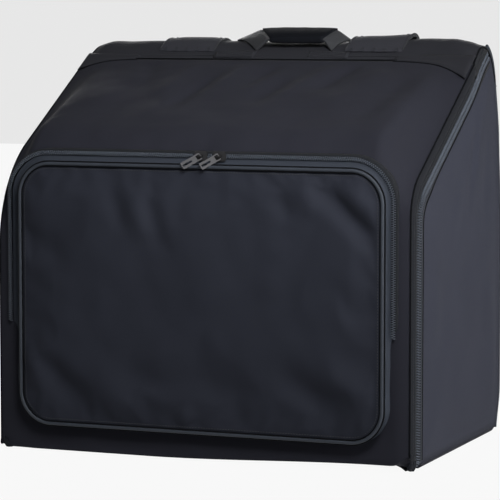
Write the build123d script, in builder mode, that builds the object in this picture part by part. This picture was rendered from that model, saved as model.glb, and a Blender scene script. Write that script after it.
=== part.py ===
"""Soft case for a piano accordion, carried by a top handle or on the back.

The padded shell has an upright front, a long slope above it and a round top edge.
The front and the slope are one lid that a long zip frees on three sides; it swings
up at the seam in front of the handle.  A zipped pocket stands on the lid's front.
X runs across the case, -Y is the front and Z is up.  The origin is the middle of
the flat bottom.  Every size is in millimetres.
"""

import os
from math import asin, atan2, cos, hypot, radians, sin, tan

from build123d import *

os.makedirs("parts", exist_ok=True)

# ---------------------------------------------------------------- driving sizes

# shell
case_width = 490.0  # side face to side face
case_depth = 325.0  # front wall to back wall
case_height = 458.0  # floor to the round top edge
front_height = 305.0  # front wall at the side seams, up to where the slope meets it
crown_height = 352.0  # the same in the padded middle of the lid
crown_inset = 48.0  # how far inside the side faces the full crown starts
knee_radius = 70.0  # bend from front wall to slope, at the side seams
crown_knee_radius = 45.0  # the same bend in the padded middle
top_radius = 50.0  # bend from slope to back wall
wall = 10.0  # padded wall
lining_cloth = 1.2  # inner lining
seam_round = 5.0  # how far the lid and the yoke are drawn in along the side seams
foot_radius = 6.0  # soft bottom edges
board_thickness = 3.0  # stiff board that lies on the bottom
board_margin = 6.0  # board to lining

# lid and its zip
lid_slope = 262.0  # slope from the front wall to the hinge seam
lid_lift = 3.0  # underside of the lid above the floor
lid_gap = 0.5  # lid to yoke at the hinge seam
zip_setback = 29.0  # middle of the main zip behind the lid's face
row_gap = 1.2  # between the two rows of a closed main zip
row_width = 2.4  # one row of teeth
row_thickness = 3.8
row_proud = 1.4  # teeth above the tape
tape_width = 9.0  # tape that shows beside a row
tape_thickness = 1.0

# main zip sliders, on the left side
slider_length = 20.0
slider_plate = 1.4
slider_clearance = 0.3
slider_round = 3.0
slider_meeting = 149.0  # height at which the two main sliders meet
slider_nose_gap = 2.0  # between the two closed sliders
slider_guide = 1.0  # lip beside the row
bridge_bar = 1.2  # bar of the loop that holds the puller
bridge_opening = 3.2
bridge_clear = 1.8  # under the bar
bridge_place = 6.0  # loop from the slider's middle, on the main sliders
puller_width = 8.0
puller_thickness = 1.2
puller_bar = 1.0  # the puller's own bar, under the loop
puller_eye = 4.6
puller_side = 1.4
puller_slot = 2.4
main_puller_length = 17.0

# pocket
pocket_width = 456.0  # middle of its zip, side to side
pocket_foot = 26.0  # its lower edge above the floor
pocket_drop = 15.0  # its upper edge below the crown's knee
pocket_radius = 48.0
pocket_depth = 16.0  # face in front of the lid
pocket_draft = 15.0  # the face is this much smaller than the zip line on each side
pocket_cloth = 2.5
pocket_face_cloth = 3.0
pocket_row_gap = 1.8
pocket_row_width = 2.8
pocket_row_thickness = 2.4
pocket_row_stand = 2.8  # back of the rows in front of the lid
pocket_tape_width = 4.0
flap_height = 145.0  # height at which the pocket's zip ends and its face folds
flap_gap = 0.5
piping_radius = 2.6
piping_round = 2.4
tooth_pitch = 4.0
tooth_notch = 2.0  # gap between two teeth
tooth_height = 1.2
pocket_slider_length = 15.0
pocket_slider_width = 11.0
pocket_inner_plate = 1.2
left_slider_x = 7.0
right_slider_x = 29.0
pocket_puller_length = 24.0
puller_droop = 35.0  # degrees below level
puller_lift = 36.0  # degrees out of the lid's face, lying on the piping

# handle
handle_middle = 6.0  # sewn a little right of the middle
handle_span = 142.0  # webbing at its feet, at the rear edge
handle_foot_inset = 14.0  # each foot is this much further in at the front edge
grip_span = 96.0  # level stretch at the rear edge
grip_inset = 11.0  # each end of it is this much further in at the front edge
handle_setback = 16.4  # front edge of the webbing behind the hinge seam
handle_depth = 34.0  # front edge to rear edge
handle_front_rise = 13.0  # webbing above the yoke
handle_rear_rise = 18.0
handle_webbing = 3.0
grip_wrap = 1.5  # wrap round the webbing
grip_end = 5.0  # webbing bare at each end of the level stretch
handle_clearance = 0.4
anchor_length = 50.0
anchor_reach = 10.0  # patch beyond the foot
anchor_thickness = 2.0
anchor_setback = 4.0  # edge of the patch behind the hinge seam, clear of the opening lid

# shoulder straps
strap_spacing = 236.0  # between the middles of the two straps
strap_width = 74.0
strap_thickness = 9.0
strap_round = 3.0
strap_setback = 28.4  # front end, sewn on the yoke behind the hinge seam
strap_bottom = 150.0  # lower end of the pads
strap_stand = 0.3  # slack between the straps and the case
webbing_width = 25.0
webbing_thickness = 1.8
lock_drop = 10.0  # pad to the ladder lock
lock_height = 28.0
lock_thickness = 4.0
lock_bar = 3.5
lock_side = 4.0
lock_play = 0.5  # webbing to the sides of its slots
loop_thickness = 1.2
tab_inset = 42.0  # middle of the tabs inside the side faces
tab_foot = 10.0  # their lower edge
tab_height = 38.0
tab_width = 56.0
tab_thickness = 3.0

# ---------------------------------------------------------------- worked-out places

half_width = case_width / 2
front_y = -case_depth / 2
back_y = case_depth / 2
run_to_top = case_depth - top_radius
rise_to_top = case_height - top_radius - front_height
slope = atan2(rise_to_top, run_to_top) + asin(top_radius / hypot(run_to_top, rise_to_top))
seam_y = front_y + lid_slope * cos(slope)
seam_z = front_height + lid_slope * sin(slope)

lid_row_outer = zip_setback - row_gap / 2 - row_width
lid_row_inner = zip_setback - row_gap / 2
case_row_outer = zip_setback + row_gap / 2
case_row_inner = case_row_outer + row_width
lid_tape_outer = lid_row_outer - tape_width
case_tape_inner = case_row_inner + tape_width

pocket_height = crown_height - pocket_drop - pocket_foot
pocket_middle = pocket_foot + pocket_height / 2
handle_front = seam_y + handle_setback
strap_start = seam_y + strap_setback

yoke_foot = case_height - top_radius  # lower edge of the yoke on the back wall
far = 2 * case_depth  # well outside the case
sides = (("left", -1), ("right", 1))


def save(builder, label):
    builder.part.label = label
    export_step(builder.part, f"parts/{label}.step")


# ---------------------------------------------------------------- side views


def outline(inset, floor=None):
    """Side view of the shell, drawn in by inset; floor replaces its lower edge."""
    low = inset if floor is None else floor
    front = front_y + inset
    back = back_y - inset
    knee = front_height + inset * tan(slope) - inset / cos(slope)
    peak = knee + (back - front) * tan(slope)
    with BuildSketch() as view:
        with BuildLine():
            Polyline((front, low), (back, low), (back, peak), (front, knee), close=True)
        make_face()
        fillet(view.vertices().group_by(Axis.X)[0].sort_by(Axis.Y)[-1], knee_radius - inset)
        fillet(view.vertices().group_by(Axis.X)[-1].sort_by(Axis.Y)[-1], top_radius - inset)
    return view.sketch


def region(*points):
    """Face through the given side-view points."""
    with BuildSketch() as view:
        with BuildLine():
            Polyline(*points, close=True)
        make_face()
    return view.sketch


def on_slope(along, outward):
    """Side-view point at the hinge seam, moved up the slope and out of it."""
    y = seam_y + along * cos(slope) - outward * sin(slope)
    z = seam_z + along * sin(slope) + outward * cos(slope)
    return (y, z)


def lid_zone(rear=zip_setback, up_slope=0.0, floor=lid_lift):
    """Everything in front of the hinge seam and of the zip under the bottom."""
    return region(
        on_slope(up_slope, wall),
        on_slope(up_slope, -2 * case_tape_inner),
        (front_y + rear, front_height / 2),
        (front_y + rear, floor),
        (front_y - far, floor),
        (front_y - far, case_height),
    )


def corner_zone(start):
    """Everything behind the hinge seam and above the foot of the yoke."""
    return region(
        on_slope(start, wall),
        on_slope(start, -2 * case_tape_inner),
        (back_y - case_tape_inner - wall, yoke_foot),
        (back_y + far, yoke_foot),
        (back_y + far, case_height + far),
        (seam_y, case_height + far),
    )


def strip(outer, inner, zone):
    """Band that follows the side view between two insets, within a zone."""
    with BuildSketch() as view:
        add(outline(outer, floor=-far))
        add(outline(inner, floor=-far), mode=Mode.SUBTRACT)
        add(zone, mode=Mode.INTERSECT)
    return view.sketch


# ---------------------------------------------------------------- padded shell

with BuildPart() as back_panel:
    with BuildSketch(Plane.XZ.offset(-back_y)):
        with Locations((0, yoke_foot / 2)):
            Rectangle(case_width - 2 * wall, yoke_foot)
    extrude(amount=wall)
    fillet(back_panel.edges().group_by(Axis.Y)[-1].group_by(Axis.Z)[0], foot_radius)
save(back_panel, "back_panel")

with BuildPart() as bottom_panel:
    bottom_front = front_y + case_tape_inner
    bottom_back = back_y - wall
    with BuildSketch():
        with Locations((0, (bottom_front + bottom_back) / 2)):
            Rectangle(case_width - 2 * wall, bottom_back - bottom_front)
    extrude(amount=wall)
save(bottom_panel, "bottom_panel")

# The side walls stop at the zip tape in front and above, and reach the floor.
for label, start in (("left_side_panel", -half_width), ("right_side_panel", half_width - wall)):
    with BuildPart() as side_panel:
        with BuildSketch(Plane.YZ.offset(start)):
            add(outline(0, floor=0))
            add(strip(0, case_tape_inner, lid_zone(case_tape_inner, lid_gap, -far)), mode=Mode.SUBTRACT)
            add(strip(0, case_tape_inner, corner_zone(lid_gap)), mode=Mode.SUBTRACT)
        extrude(amount=wall)
        outer_face = side_panel.faces().sort_by(Axis.X)[0 if start < 0 else -1]
        bottom_edges = outer_face.edges().filter_by(Axis.Y).group_by(Axis.Z)[0]
        fillet(bottom_edges, foot_radius)
    save(side_panel, label)

# Reinforced yoke over the top, which carries the handle and the straps.
with BuildPart() as top_yoke:
    for x, inset in (
        (-half_width, seam_round),
        (-half_width + seam_round, 0),
        (half_width - seam_round, 0),
        (half_width, seam_round),
    ):
        with BuildSketch(Plane.YZ.offset(x)):
            add(strip(inset, wall, corner_zone(lid_gap)))
    loft(ruled=True)
save(top_yoke, "top_yoke")

# Strips beside the yoke, along which the zip's last stretch stays closed.
for side, sign in sides:
    with BuildPart() as corner_strip:
        with BuildSketch(Plane.YZ.offset(sign * half_width)):
            add(strip(wall, case_tape_inner, corner_zone(lid_gap)))
        extrude(amount=-sign * wall)
    save(corner_strip, f"{side}_corner_strip")

    with BuildPart() as corner_zip:
        with BuildSketch(Plane.YZ.offset(sign * half_width)):
            add(strip(lid_row_outer, lid_row_inner, corner_zone(lid_gap)))
            add(strip(case_row_outer, case_row_inner, corner_zone(lid_gap)))
        extrude(amount=sign * row_proud)
    save(corner_zip, f"{side}_corner_zip")

with BuildPart() as case_lining:
    inner_width = case_width - 2 * wall
    case_side = lid_zone(case_tape_inner, lid_gap, -far)
    with BuildSketch(Plane.YZ.offset(-inner_width / 2)):
        add(outline(wall))
        add(outline(wall + lining_cloth), mode=Mode.SUBTRACT)
        add(case_side, mode=Mode.SUBTRACT)
    extrude(amount=inner_width)
    for start in (-inner_width / 2, inner_width / 2 - lining_cloth):
        with BuildSketch(Plane.YZ.offset(start)):
            add(outline(wall + lining_cloth / 2))
            add(strip(0, case_tape_inner, case_side), mode=Mode.SUBTRACT)
        extrude(amount=lining_cloth)
save(case_lining, "case_lining")

with BuildPart() as base_board:
    board_front = front_y + case_tape_inner + board_margin
    board_back = back_y - wall - lining_cloth - board_margin
    board_width = inner_width - 2 * lining_cloth - 2 * board_margin
    with BuildSketch(Plane.XY.offset(wall + lining_cloth)):
        with Locations((0, (board_front + board_back) / 2)):
            RectangleRounded(board_width, board_back - board_front, 2 * board_margin)
    extrude(amount=board_thickness)
save(base_board, "base_board")

# ---------------------------------------------------------------- lid


def lid_section(fullness, outer, inner, flange=None):
    """Wall of the lid from the hinge seam down, with an optional turned-in lower edge."""
    knee_height = front_height + fullness * (crown_height - front_height)
    radius = knee_radius + fullness * (crown_knee_radius - knee_radius)
    angle = atan2(seam_z - knee_height, seam_y - front_y)
    knees = [
        (front_y + inset, knee_height + inset * tan(angle) - inset / cos(angle))
        for inset in (outer, inner)
    ]
    if flange is None:
        foot = [(front_y + inner, lid_lift + wall), (front_y + outer, lid_lift + wall)]
    else:
        foot = [
            (front_y + inner, lid_lift + wall),
            (front_y + flange, lid_lift + wall),
            (front_y + flange, lid_lift),
            (front_y + outer, lid_lift),
        ]
    with BuildSketch() as view:
        with BuildLine():
            Polyline(knees[0], on_slope(0, -outer), on_slope(0, -inner), knees[1], *foot, close=True)
        make_face()
        for point, inset in zip(knees, (outer, inner)):
            fillet(view.vertices().sort_by_distance(point)[0], radius - inset)
        if flange is not None:
            fillet(view.vertices().sort_by_distance(foot[-1])[0], foot_radius)
    return view.sketch


# The padded lid is fullest in its middle and flat along the side seams.
half_forms = [
    (half_width, 0, seam_round),
    (half_width - seam_round, 0, 0),
    (half_width - wall, 0, 0),
    (half_width - (2 * wall + crown_inset) / 3, 0.25, 0),
    (half_width - (wall + 2 * crown_inset) / 3, 0.75, 0),
    (half_width - crown_inset, 1, 0),
]
lid_forms = [(-x, full, outer) for x, full, outer in half_forms] + half_forms[::-1]

with BuildPart() as lid_panel:
    for x, full, outer in lid_forms:
        with BuildSketch(Plane.YZ.offset(x)):
            add(lid_section(full, outer, wall, lid_tape_outer))
    loft(ruled=True)
save(lid_panel, "lid_panel")

for side, sign in sides:
    with BuildPart() as lid_gusset:
        with BuildSketch(Plane.YZ.offset(sign * half_width)):
            add(strip(wall, lid_tape_outer, lid_zone(floor=lid_lift + wall)))
        extrude(amount=-sign * wall)
    save(lid_gusset, f"{side}_lid_gusset")

with BuildPart() as lid_lining:
    for x, full, outer in lid_forms[2:-2]:
        with BuildSketch(Plane.YZ.offset(x)):
            add(lid_section(full, wall, wall + lining_cloth))
    loft(ruled=True)
save(lid_lining, "lid_lining")

# ---------------------------------------------------------------- main zip


row_depth = row_thickness - row_proud
row_low = lid_lift - row_proud / 2
lid_front = lid_zone(case_tape_inner, 0, lid_lift)
case_front = lid_zone(case_tape_inner, lid_gap, lid_lift)

# Each half of the zip runs down both side faces and across the underside.
for label, outer, inner, zone in (
    ("lid_zip_tape", lid_tape_outer, lid_row_outer, lid_front),
    ("lid_zip_row", lid_row_outer, lid_row_inner, lid_front),
    ("case_zip_tape", case_row_inner, case_tape_inner, case_front),
    ("case_zip_row", case_row_outer, case_row_inner, case_front),
):
    is_row = label.endswith("row")
    depth = row_depth if is_row else tape_thickness
    proud = row_proud if is_row else 0
    low = row_low if is_row else lid_lift
    with BuildPart() as zip_half:
        for sign in (-1, 1):
            with BuildSketch(Plane.YZ.offset(sign * (half_width - depth))):
                add(strip(outer, inner, zone))
            extrude(amount=sign * (depth + proud))
        with BuildSketch(Plane.XY.offset(low)):
            with Locations((0, front_y + (outer + inner) / 2)):
                Rectangle(2 * (half_width - depth), inner - outer)
        extrude(amount=depth + proud)
    save(zip_half, label)

# Two sliders close nose to nose on the left side.  Their plates clasp both rows,
# a thin post runs between the rows, and a lip guides them along the case's row.
zip_y = front_y + zip_setback
outer_plate = half_width + row_proud + slider_clearance
inner_plate = half_width - row_depth - slider_clearance
slider_width = row_gap + 2 * (row_width + slider_clearance + slider_guide)
post_width = row_gap - 2 * slider_clearance
bridge_length = bridge_opening + 2 * bridge_bar
bridge_rise = bridge_clear + bridge_bar


def puller_outline(length):
    """Puller from its own bar outwards along X, with its eye and slot."""
    middle = (length - puller_bar / 2) / 2
    slot_length = length - puller_eye - puller_width
    with BuildSketch() as view:
        with Locations((middle, 0)):
            RectangleRounded(length + puller_bar / 2, puller_width, puller_width / 5)
        with Locations((puller_bar / 2, 0)):
            eye_align = (Align.MIN, Align.CENTER)
            Rectangle(puller_eye, puller_width - 2 * puller_side, align=eye_align, mode=Mode.SUBTRACT)
        with Locations((length - puller_side - slot_length / 2, 0)):
            SlotOverall(slot_length, puller_slot, mode=Mode.SUBTRACT)
    return view.sketch


for name, direction in (("upper", 1), ("lower", -1)):
    middle = slider_meeting + direction * (slider_nose_gap + slider_length) / 2
    # Local X runs forwards, local Y up and local Z out of the left side face.
    face = Plane(origin=(-outer_plate, zip_y, middle), x_dir=(0, -1, 0), z_dir=(-1, 0, 0))
    back_face = face.offset(inner_plate - outer_plate)
    with BuildPart() as main_slider:
        with BuildSketch(face):
            RectangleRounded(slider_width, slider_length, slider_round)
        extrude(amount=slider_plate)
        with BuildSketch(back_face):
            RectangleRounded(slider_width, slider_length, slider_round)
        extrude(amount=-slider_plate)
        with BuildSketch(back_face):
            RectangleRounded(post_width, slider_length / 4, post_width / 3)
        extrude(amount=outer_plate - inner_plate)
        with BuildSketch(face):
            with Locations((-slider_width / 2, 0)):
                Rectangle(slider_guide, slider_length / 2, align=(Align.MIN, Align.CENTER))
        extrude(amount=-row_proud)
        with BuildSketch(face.offset(slider_plate)):
            with Locations((0, bridge_place)):
                Rectangle(bridge_bar, bridge_length)
        extrude(amount=bridge_rise)
        with BuildSketch(face.offset(slider_plate)):
            with Locations((0, bridge_place)):
                Rectangle(2 * bridge_bar, bridge_opening)
        extrude(amount=bridge_clear, mode=Mode.SUBTRACT)
    save(main_slider, f"main_{name}_slider")

    puller_origin = (-outer_plate - slider_plate - bridge_clear / 2, zip_y, middle + bridge_place)
    with BuildPart() as main_puller:
        with BuildSketch(Plane(origin=puller_origin, x_dir=(0, 0, -1), z_dir=(-1, 0, 0))):
            add(puller_outline(main_puller_length))
        extrude(amount=puller_thickness / 2, both=True)
    save(main_puller, f"main_{name}_puller")

# ---------------------------------------------------------------- pocket

row_in = pocket_row_gap / 2
row_out = row_in + pocket_row_width
row_front = pocket_row_stand + pocket_row_thickness
pocket_top = pocket_middle + pocket_height / 2
flap_cut = Plane.XY.offset(flap_height + flap_gap / 2)
lower_cut = Plane.XY.offset(flap_height - flap_gap / 2)
piping_centre = pocket_depth - piping_radius / 4


def pocket_plane(forward):
    """Plane that faces forwards, at the pocket's middle, in front of the front wall."""
    return Plane(origin=(0, front_y - forward, pocket_middle), x_dir=(1, 0, 0), z_dir=(0, -1, 0))


def pocket_shape(grow):
    """The zip line's rounded rectangle, grown on every side."""
    with BuildSketch() as view:
        RectangleRounded(pocket_width + 2 * grow, pocket_height + 2 * grow, pocket_radius + grow)
    return view.sketch


# The tape reaches back to the lid's curved face, which falls away at the corners.
with BuildPart() as lid_depth:
    for x, full, outer in lid_forms:
        with BuildSketch(Plane.YZ.offset(x)):
            add(lid_section(full, outer, 4 * wall))
    loft(ruled=True)

with BuildPart() as pocket_zip_tape:
    with BuildSketch(pocket_plane(-3 * wall)):
        add(pocket_shape(row_out + pocket_tape_width))
        add(pocket_shape(row_out), mode=Mode.SUBTRACT)
    extrude(amount=3 * wall + row_front - pocket_row_thickness / 4)
    add(lid_depth.part, mode=Mode.SUBTRACT)
    split(bisect_by=Plane.XY.offset(flap_height))
save(pocket_zip_tape, "pocket_zip_tape")

# Rows of teeth on both sides of the pocket's zip, notched along the straight top.
tooth_run = pocket_width - 2 * pocket_radius
tooth_count = int(tooth_run / tooth_pitch)
for label, inner, outer, notch, cut in (
    ("pocket_outer_row", row_in, row_out, row_in, Plane.XY.offset(flap_height)),
    ("pocket_inner_row", -row_out, -row_in, -row_in, flap_cut),
):
    notch_middle = pocket_top + notch + (tooth_height / 2 if notch > 0 else -tooth_height / 2)
    with BuildPart() as tooth_row:
        with BuildSketch(pocket_plane(pocket_row_stand)):
            add(pocket_shape(outer))
            add(pocket_shape(inner), mode=Mode.SUBTRACT)
            with Locations((0, notch_middle - pocket_middle)):
                with GridLocations(tooth_pitch, 1, tooth_count, 1):
                    Rectangle(tooth_notch, tooth_height, mode=Mode.SUBTRACT)
        extrude(amount=pocket_row_thickness)
        split(bisect_by=cut)
    save(tooth_row, label)

with BuildPart() as whole_piping:
    with BuildSketch(pocket_plane(piping_centre - piping_radius)):
        add(pocket_shape(piping_radius - pocket_draft))
        add(pocket_shape(-piping_radius - pocket_draft), mode=Mode.SUBTRACT)
    extrude(amount=2 * piping_radius)
    rims = whole_piping.faces().filter_by(Axis.Y).edges()
    fillet(rims, piping_round)

gusset_front = pocket_depth - piping_radius / 2

with BuildPart() as pocket_gusset:
    for forward, grow in ((pocket_row_stand, -row_out), (gusset_front, -pocket_draft)):
        with BuildSketch(pocket_plane(forward)):
            add(pocket_shape(grow))
    loft(ruled=True)
    for forward, grow in ((pocket_row_stand, -row_out), (gusset_front, -pocket_draft)):
        with BuildSketch(pocket_plane(forward)):
            add(pocket_shape(grow - pocket_cloth))
    loft(ruled=True, mode=Mode.SUBTRACT)
    add(whole_piping.part, mode=Mode.SUBTRACT)
    split(bisect_by=flap_cut)
save(pocket_gusset, "pocket_gusset")

with BuildPart() as pocket_lower_gusset:
    for forward, grow in ((0, -row_in), (gusset_front, -pocket_draft)):
        with BuildSketch(pocket_plane(forward)):
            add(pocket_shape(grow))
    loft(ruled=True)
    for forward, grow in ((0, -row_in), (gusset_front, -pocket_draft)):
        with BuildSketch(pocket_plane(forward)):
            add(pocket_shape(grow - pocket_cloth))
    loft(ruled=True, mode=Mode.SUBTRACT)
    add(whole_piping.part, mode=Mode.SUBTRACT)
    split(bisect_by=lower_cut, keep=Keep.BOTTOM)
save(pocket_lower_gusset, "pocket_lower_gusset")

for label, cut, keep in (("pocket_", flap_cut, Keep.TOP), ("pocket_lower_", lower_cut, Keep.BOTTOM)):
    with BuildPart() as piping:
        add(whole_piping.part)
        split(bisect_by=cut, keep=keep)
    save(piping, label + "piping")

    with BuildPart() as pocket_face:
        with BuildSketch(pocket_plane(pocket_depth - pocket_face_cloth)):
            add(pocket_shape(-pocket_draft))
        extrude(amount=pocket_face_cloth)
        add(whole_piping.part, mode=Mode.SUBTRACT)
        split(bisect_by=cut, keep=keep)
        solids = pocket_face.solids().sort_by(SortBy.VOLUME)
        for scrap in solids[:-1]:
            add(scrap, mode=Mode.SUBTRACT)
    save(pocket_face, label + "face")

# Two sliders side by side on the top run.  They ride on the flap's row: their inner
# plate lies under that row alone, so the flap can swing out.
outer_face = row_front + slider_clearance
inner_face = pocket_row_stand - slider_clearance
pocket_post = pocket_row_gap - 4 * slider_clearance
droop = radians(puller_droop)
lift = radians(puller_lift)
puller_heading = (-cos(droop) * cos(lift), -sin(lift), -sin(droop) * cos(lift))
puller_front = (cos(droop) * sin(lift), -cos(lift), sin(droop) * sin(lift))

for side, x in (("left", left_slider_x), ("right", right_slider_x)):
    # Local X runs along the zip, local Y up and local Z forwards.
    face = Plane(origin=(x, front_y - outer_face, pocket_top), x_dir=(1, 0, 0), z_dir=(0, -1, 0))
    with BuildPart() as pocket_slider:
        with BuildSketch(face):
            RectangleRounded(pocket_slider_length, pocket_slider_width, slider_round)
        extrude(amount=slider_plate)
        with BuildSketch(face.offset(inner_face - outer_face)):
            with Locations((0, pocket_post / 2)):
                plate_height = pocket_slider_width / 2 + pocket_post / 2
                Rectangle(pocket_slider_length, plate_height, align=(Align.CENTER, Align.MAX))
        extrude(amount=-pocket_inner_plate)
        with BuildSketch(face.offset(inner_face - outer_face)):
            Rectangle(pocket_slider_length / 4, pocket_post)
        extrude(amount=outer_face - inner_face)
        with BuildSketch(face.offset(slider_plate)):
            Rectangle(bridge_length, bridge_bar)
        extrude(amount=bridge_rise)
        with BuildSketch(face.offset(slider_plate)):
            Rectangle(bridge_opening, 2 * bridge_bar)
        extrude(amount=bridge_clear, mode=Mode.SUBTRACT)
    save(pocket_slider, f"pocket_{side}_slider")

    puller_origin = (x, front_y - outer_face - slider_plate - bridge_clear / 2, pocket_top)
    with BuildPart() as pocket_puller:
        with BuildSketch(Plane(origin=puller_origin, x_dir=puller_heading, z_dir=puller_front)):
            add(puller_outline(pocket_puller_length))
        extrude(amount=puller_thickness / 2, both=True)
    save(pocket_puller, f"pocket_{side}_puller")

# ---------------------------------------------------------------- handle


def yoke_height(y):
    """Height of the yoke's outer face, on its slope or on its round top."""
    arc_y = back_y - top_radius
    if y < arc_y - top_radius * sin(slope):
        return seam_z + (y - seam_y) * tan(slope)
    return yoke_foot + (top_radius**2 - (y - arc_y) ** 2) ** 0.5


def handle_band(span, grip, low, high):
    """Webbing seen from the front: two slanted legs and a level stretch."""
    leg = atan2(high - low, (span - grip) / 2)
    leg_width = handle_webbing / sin(leg)
    corner = handle_webbing * tan(leg / 2)
    half = [
        (span / 2, low),
        (grip / 2, high),
        (grip / 2 - corner, high - handle_webbing),
        (span / 2 - leg_width, low),
    ]
    outer = [(-x, z) for x, z in half[:2]] + [half[1], half[0]]
    inner = [half[3], half[2]] + [(-x, z) for x, z in (half[2], half[3])]
    return [(handle_middle + x, z) for x, z in outer + inner]


handle_rear = handle_front + handle_depth
front_top = yoke_height(handle_front) + handle_front_rise
rear_top = yoke_height(handle_rear) + handle_rear_rise
handle_ends = (
    (handle_front, handle_span - 2 * handle_foot_inset, grip_span - 2 * grip_inset, front_top),
    (handle_rear, handle_span, grip_span, rear_top),
)

with BuildPart() as handle_loop:
    for y, span, grip, high in handle_ends:
        with BuildSketch(Plane.XZ.offset(-y)):
            with BuildLine():
                Polyline(*handle_band(span, grip, yoke_height(y), high), close=True)
            make_face()
    loft(ruled=True)
    with BuildSketch(Plane.YZ.offset(handle_middle - handle_span)):
        add(outline(-handle_clearance))
    extrude(amount=2 * handle_span, mode=Mode.SUBTRACT)
save(handle_loop, "handle_webbing")

with BuildPart() as handle_grip:
    grip_thickness = handle_webbing + 2 * grip_wrap
    lean = atan2(rear_top - front_top, handle_depth)
    for end, (y, span, grip, high) in zip((-1, 1), handle_ends):
        with BuildSketch(Plane.XZ.offset(-y - end * grip_wrap)):
            with Locations((handle_middle, high - handle_webbing / 2 + end * grip_wrap * tan(lean))):
                Rectangle(grip - 2 * grip_end, grip_thickness)
    loft(ruled=True)
    add(handle_loop.part, mode=Mode.SUBTRACT)
save(handle_grip, "handle_grip")

# Sewn ends of the webbing, flat on the yoke in front of the loop.
for side, sign in sides:
    foot = handle_middle + sign * (handle_span / 2 + anchor_reach)
    with BuildPart() as handle_anchor:
        with BuildSketch(Plane.YZ.offset(foot)):
            add(strip(-anchor_thickness, 0, corner_zone(lid_gap + anchor_setback)))
            with Locations((handle_front - 2 * anchor_thickness, 0)):
                Rectangle(far, far, align=(Align.MIN, Align.MIN), mode=Mode.SUBTRACT)
        extrude(amount=-sign * anchor_length)
    save(handle_anchor, f"{side}_handle_anchor")

# ---------------------------------------------------------------- shoulder straps

lock_width = webbing_width + 2 * (lock_play + lock_side)
lock_top = strap_bottom - lock_drop
lock_back = back_y + strap_stand + loop_thickness + strap_stand
lock_slot = (lock_height - 4 * lock_bar) / 3
loop_low = lock_top - lock_bar - strap_stand - loop_thickness
loop_depth = lock_thickness + 2 * strap_stand + 2 * loop_thickness

for side, sign in sides:
    strap_x = sign * strap_spacing / 2
    with BuildPart() as shoulder_strap:
        with BuildSketch(Plane.YZ.offset(strap_x - strap_width / 2)):
            add(outline(-strap_stand - strap_thickness, floor=strap_bottom))
            add(outline(-strap_stand, floor=0), mode=Mode.SUBTRACT)
            with Locations((strap_start, 0)):
                Rectangle(far, far, align=(Align.MAX, Align.MIN), mode=Mode.SUBTRACT)
        extrude(amount=strap_width)
        rims = shoulder_strap.edges().group_by(Axis.X)
        fillet(rims[0] + rims[-1], strap_round)
    save(shoulder_strap, f"{side}_shoulder_strap")

    with BuildPart() as lock_loop:
        with BuildSketch(Plane.YZ.offset(strap_x - webbing_width / 2)):
            with Locations((back_y + strap_stand, loop_low)):
                Rectangle(loop_depth, strap_bottom - loop_low, align=(Align.MIN, Align.MIN))
            with Locations((back_y + strap_stand + loop_thickness, loop_low + loop_thickness)):
                hole_height = strap_bottom - loop_low - 2 * loop_thickness
                hole_depth = loop_depth - 2 * loop_thickness
                Rectangle(hole_depth, hole_height, align=(Align.MIN, Align.MIN), mode=Mode.SUBTRACT)
        extrude(amount=webbing_width)
    save(lock_loop, f"{side}_lock_loop")

    # Local X runs across, local Y down and local Z backwards.
    lock_origin = (strap_x, lock_back, lock_top - lock_height / 2)
    with BuildPart() as ladder_lock:
        with BuildSketch(Plane(origin=lock_origin, x_dir=(-1, 0, 0), z_dir=(0, 1, 0))):
            RectangleRounded(lock_width, lock_height, lock_bar)
            with GridLocations(1, lock_slot + lock_bar, 1, 3):
                Rectangle(webbing_width + 2 * lock_play, lock_slot, mode=Mode.SUBTRACT)
        extrude(amount=lock_thickness)
    save(ladder_lock, f"{side}_ladder_lock")

    tab_x = sign * (half_width - tab_inset)
    with BuildPart() as strap_tab:
        with BuildSketch(Plane.XZ.offset(-back_y - tab_thickness)):
            with BuildLine():
                Polyline(
                    (tab_x - tab_width / 2, tab_foot),
                    (tab_x + tab_width / 2, tab_foot),
                    (tab_x + webbing_width / 2, tab_foot + tab_height),
                    (tab_x - webbing_width / 2, tab_foot + tab_height),
                    close=True,
                )
            make_face()
        extrude(amount=tab_thickness)
    save(strap_tab, f"{side}_strap_tab")

    # The lower webbing runs behind the ladder lock and slants out to the tab.
    webbing_top = lock_top - lock_height
    webbing_low = tab_foot + tab_height
    shift = (webbing_width / 2) / cos(atan2(abs(tab_x - strap_x), webbing_top - webbing_low))
    with BuildPart() as strap_webbing:
        with BuildSketch(Plane.XZ.offset(-back_y - strap_stand - webbing_thickness)):
            with BuildLine():
                Polyline(
                    (strap_x - webbing_width / 2, loop_low - lock_bar),
                    (strap_x + webbing_width / 2, loop_low - lock_bar),
                    (strap_x + webbing_width / 2, webbing_top),
                    (tab_x + shift, webbing_low),
                    (tab_x - shift, webbing_low),
                    (strap_x - webbing_width / 2, webbing_top),
                    close=True,
                )
            make_face()
        extrude(amount=webbing_thickness)
        add(lock_loop.part, mode=Mode.SUBTRACT)
        add(ladder_lock.part, mode=Mode.SUBTRACT)
    save(strap_webbing, f"{side}_strap_webbing")
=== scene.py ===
"""Soft accordion case, dressed in cloth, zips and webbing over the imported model."""

from math import asin, atan2, cos, exp, hypot, pi, radians, sin, tan

import bpy
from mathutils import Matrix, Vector, noise


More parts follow.
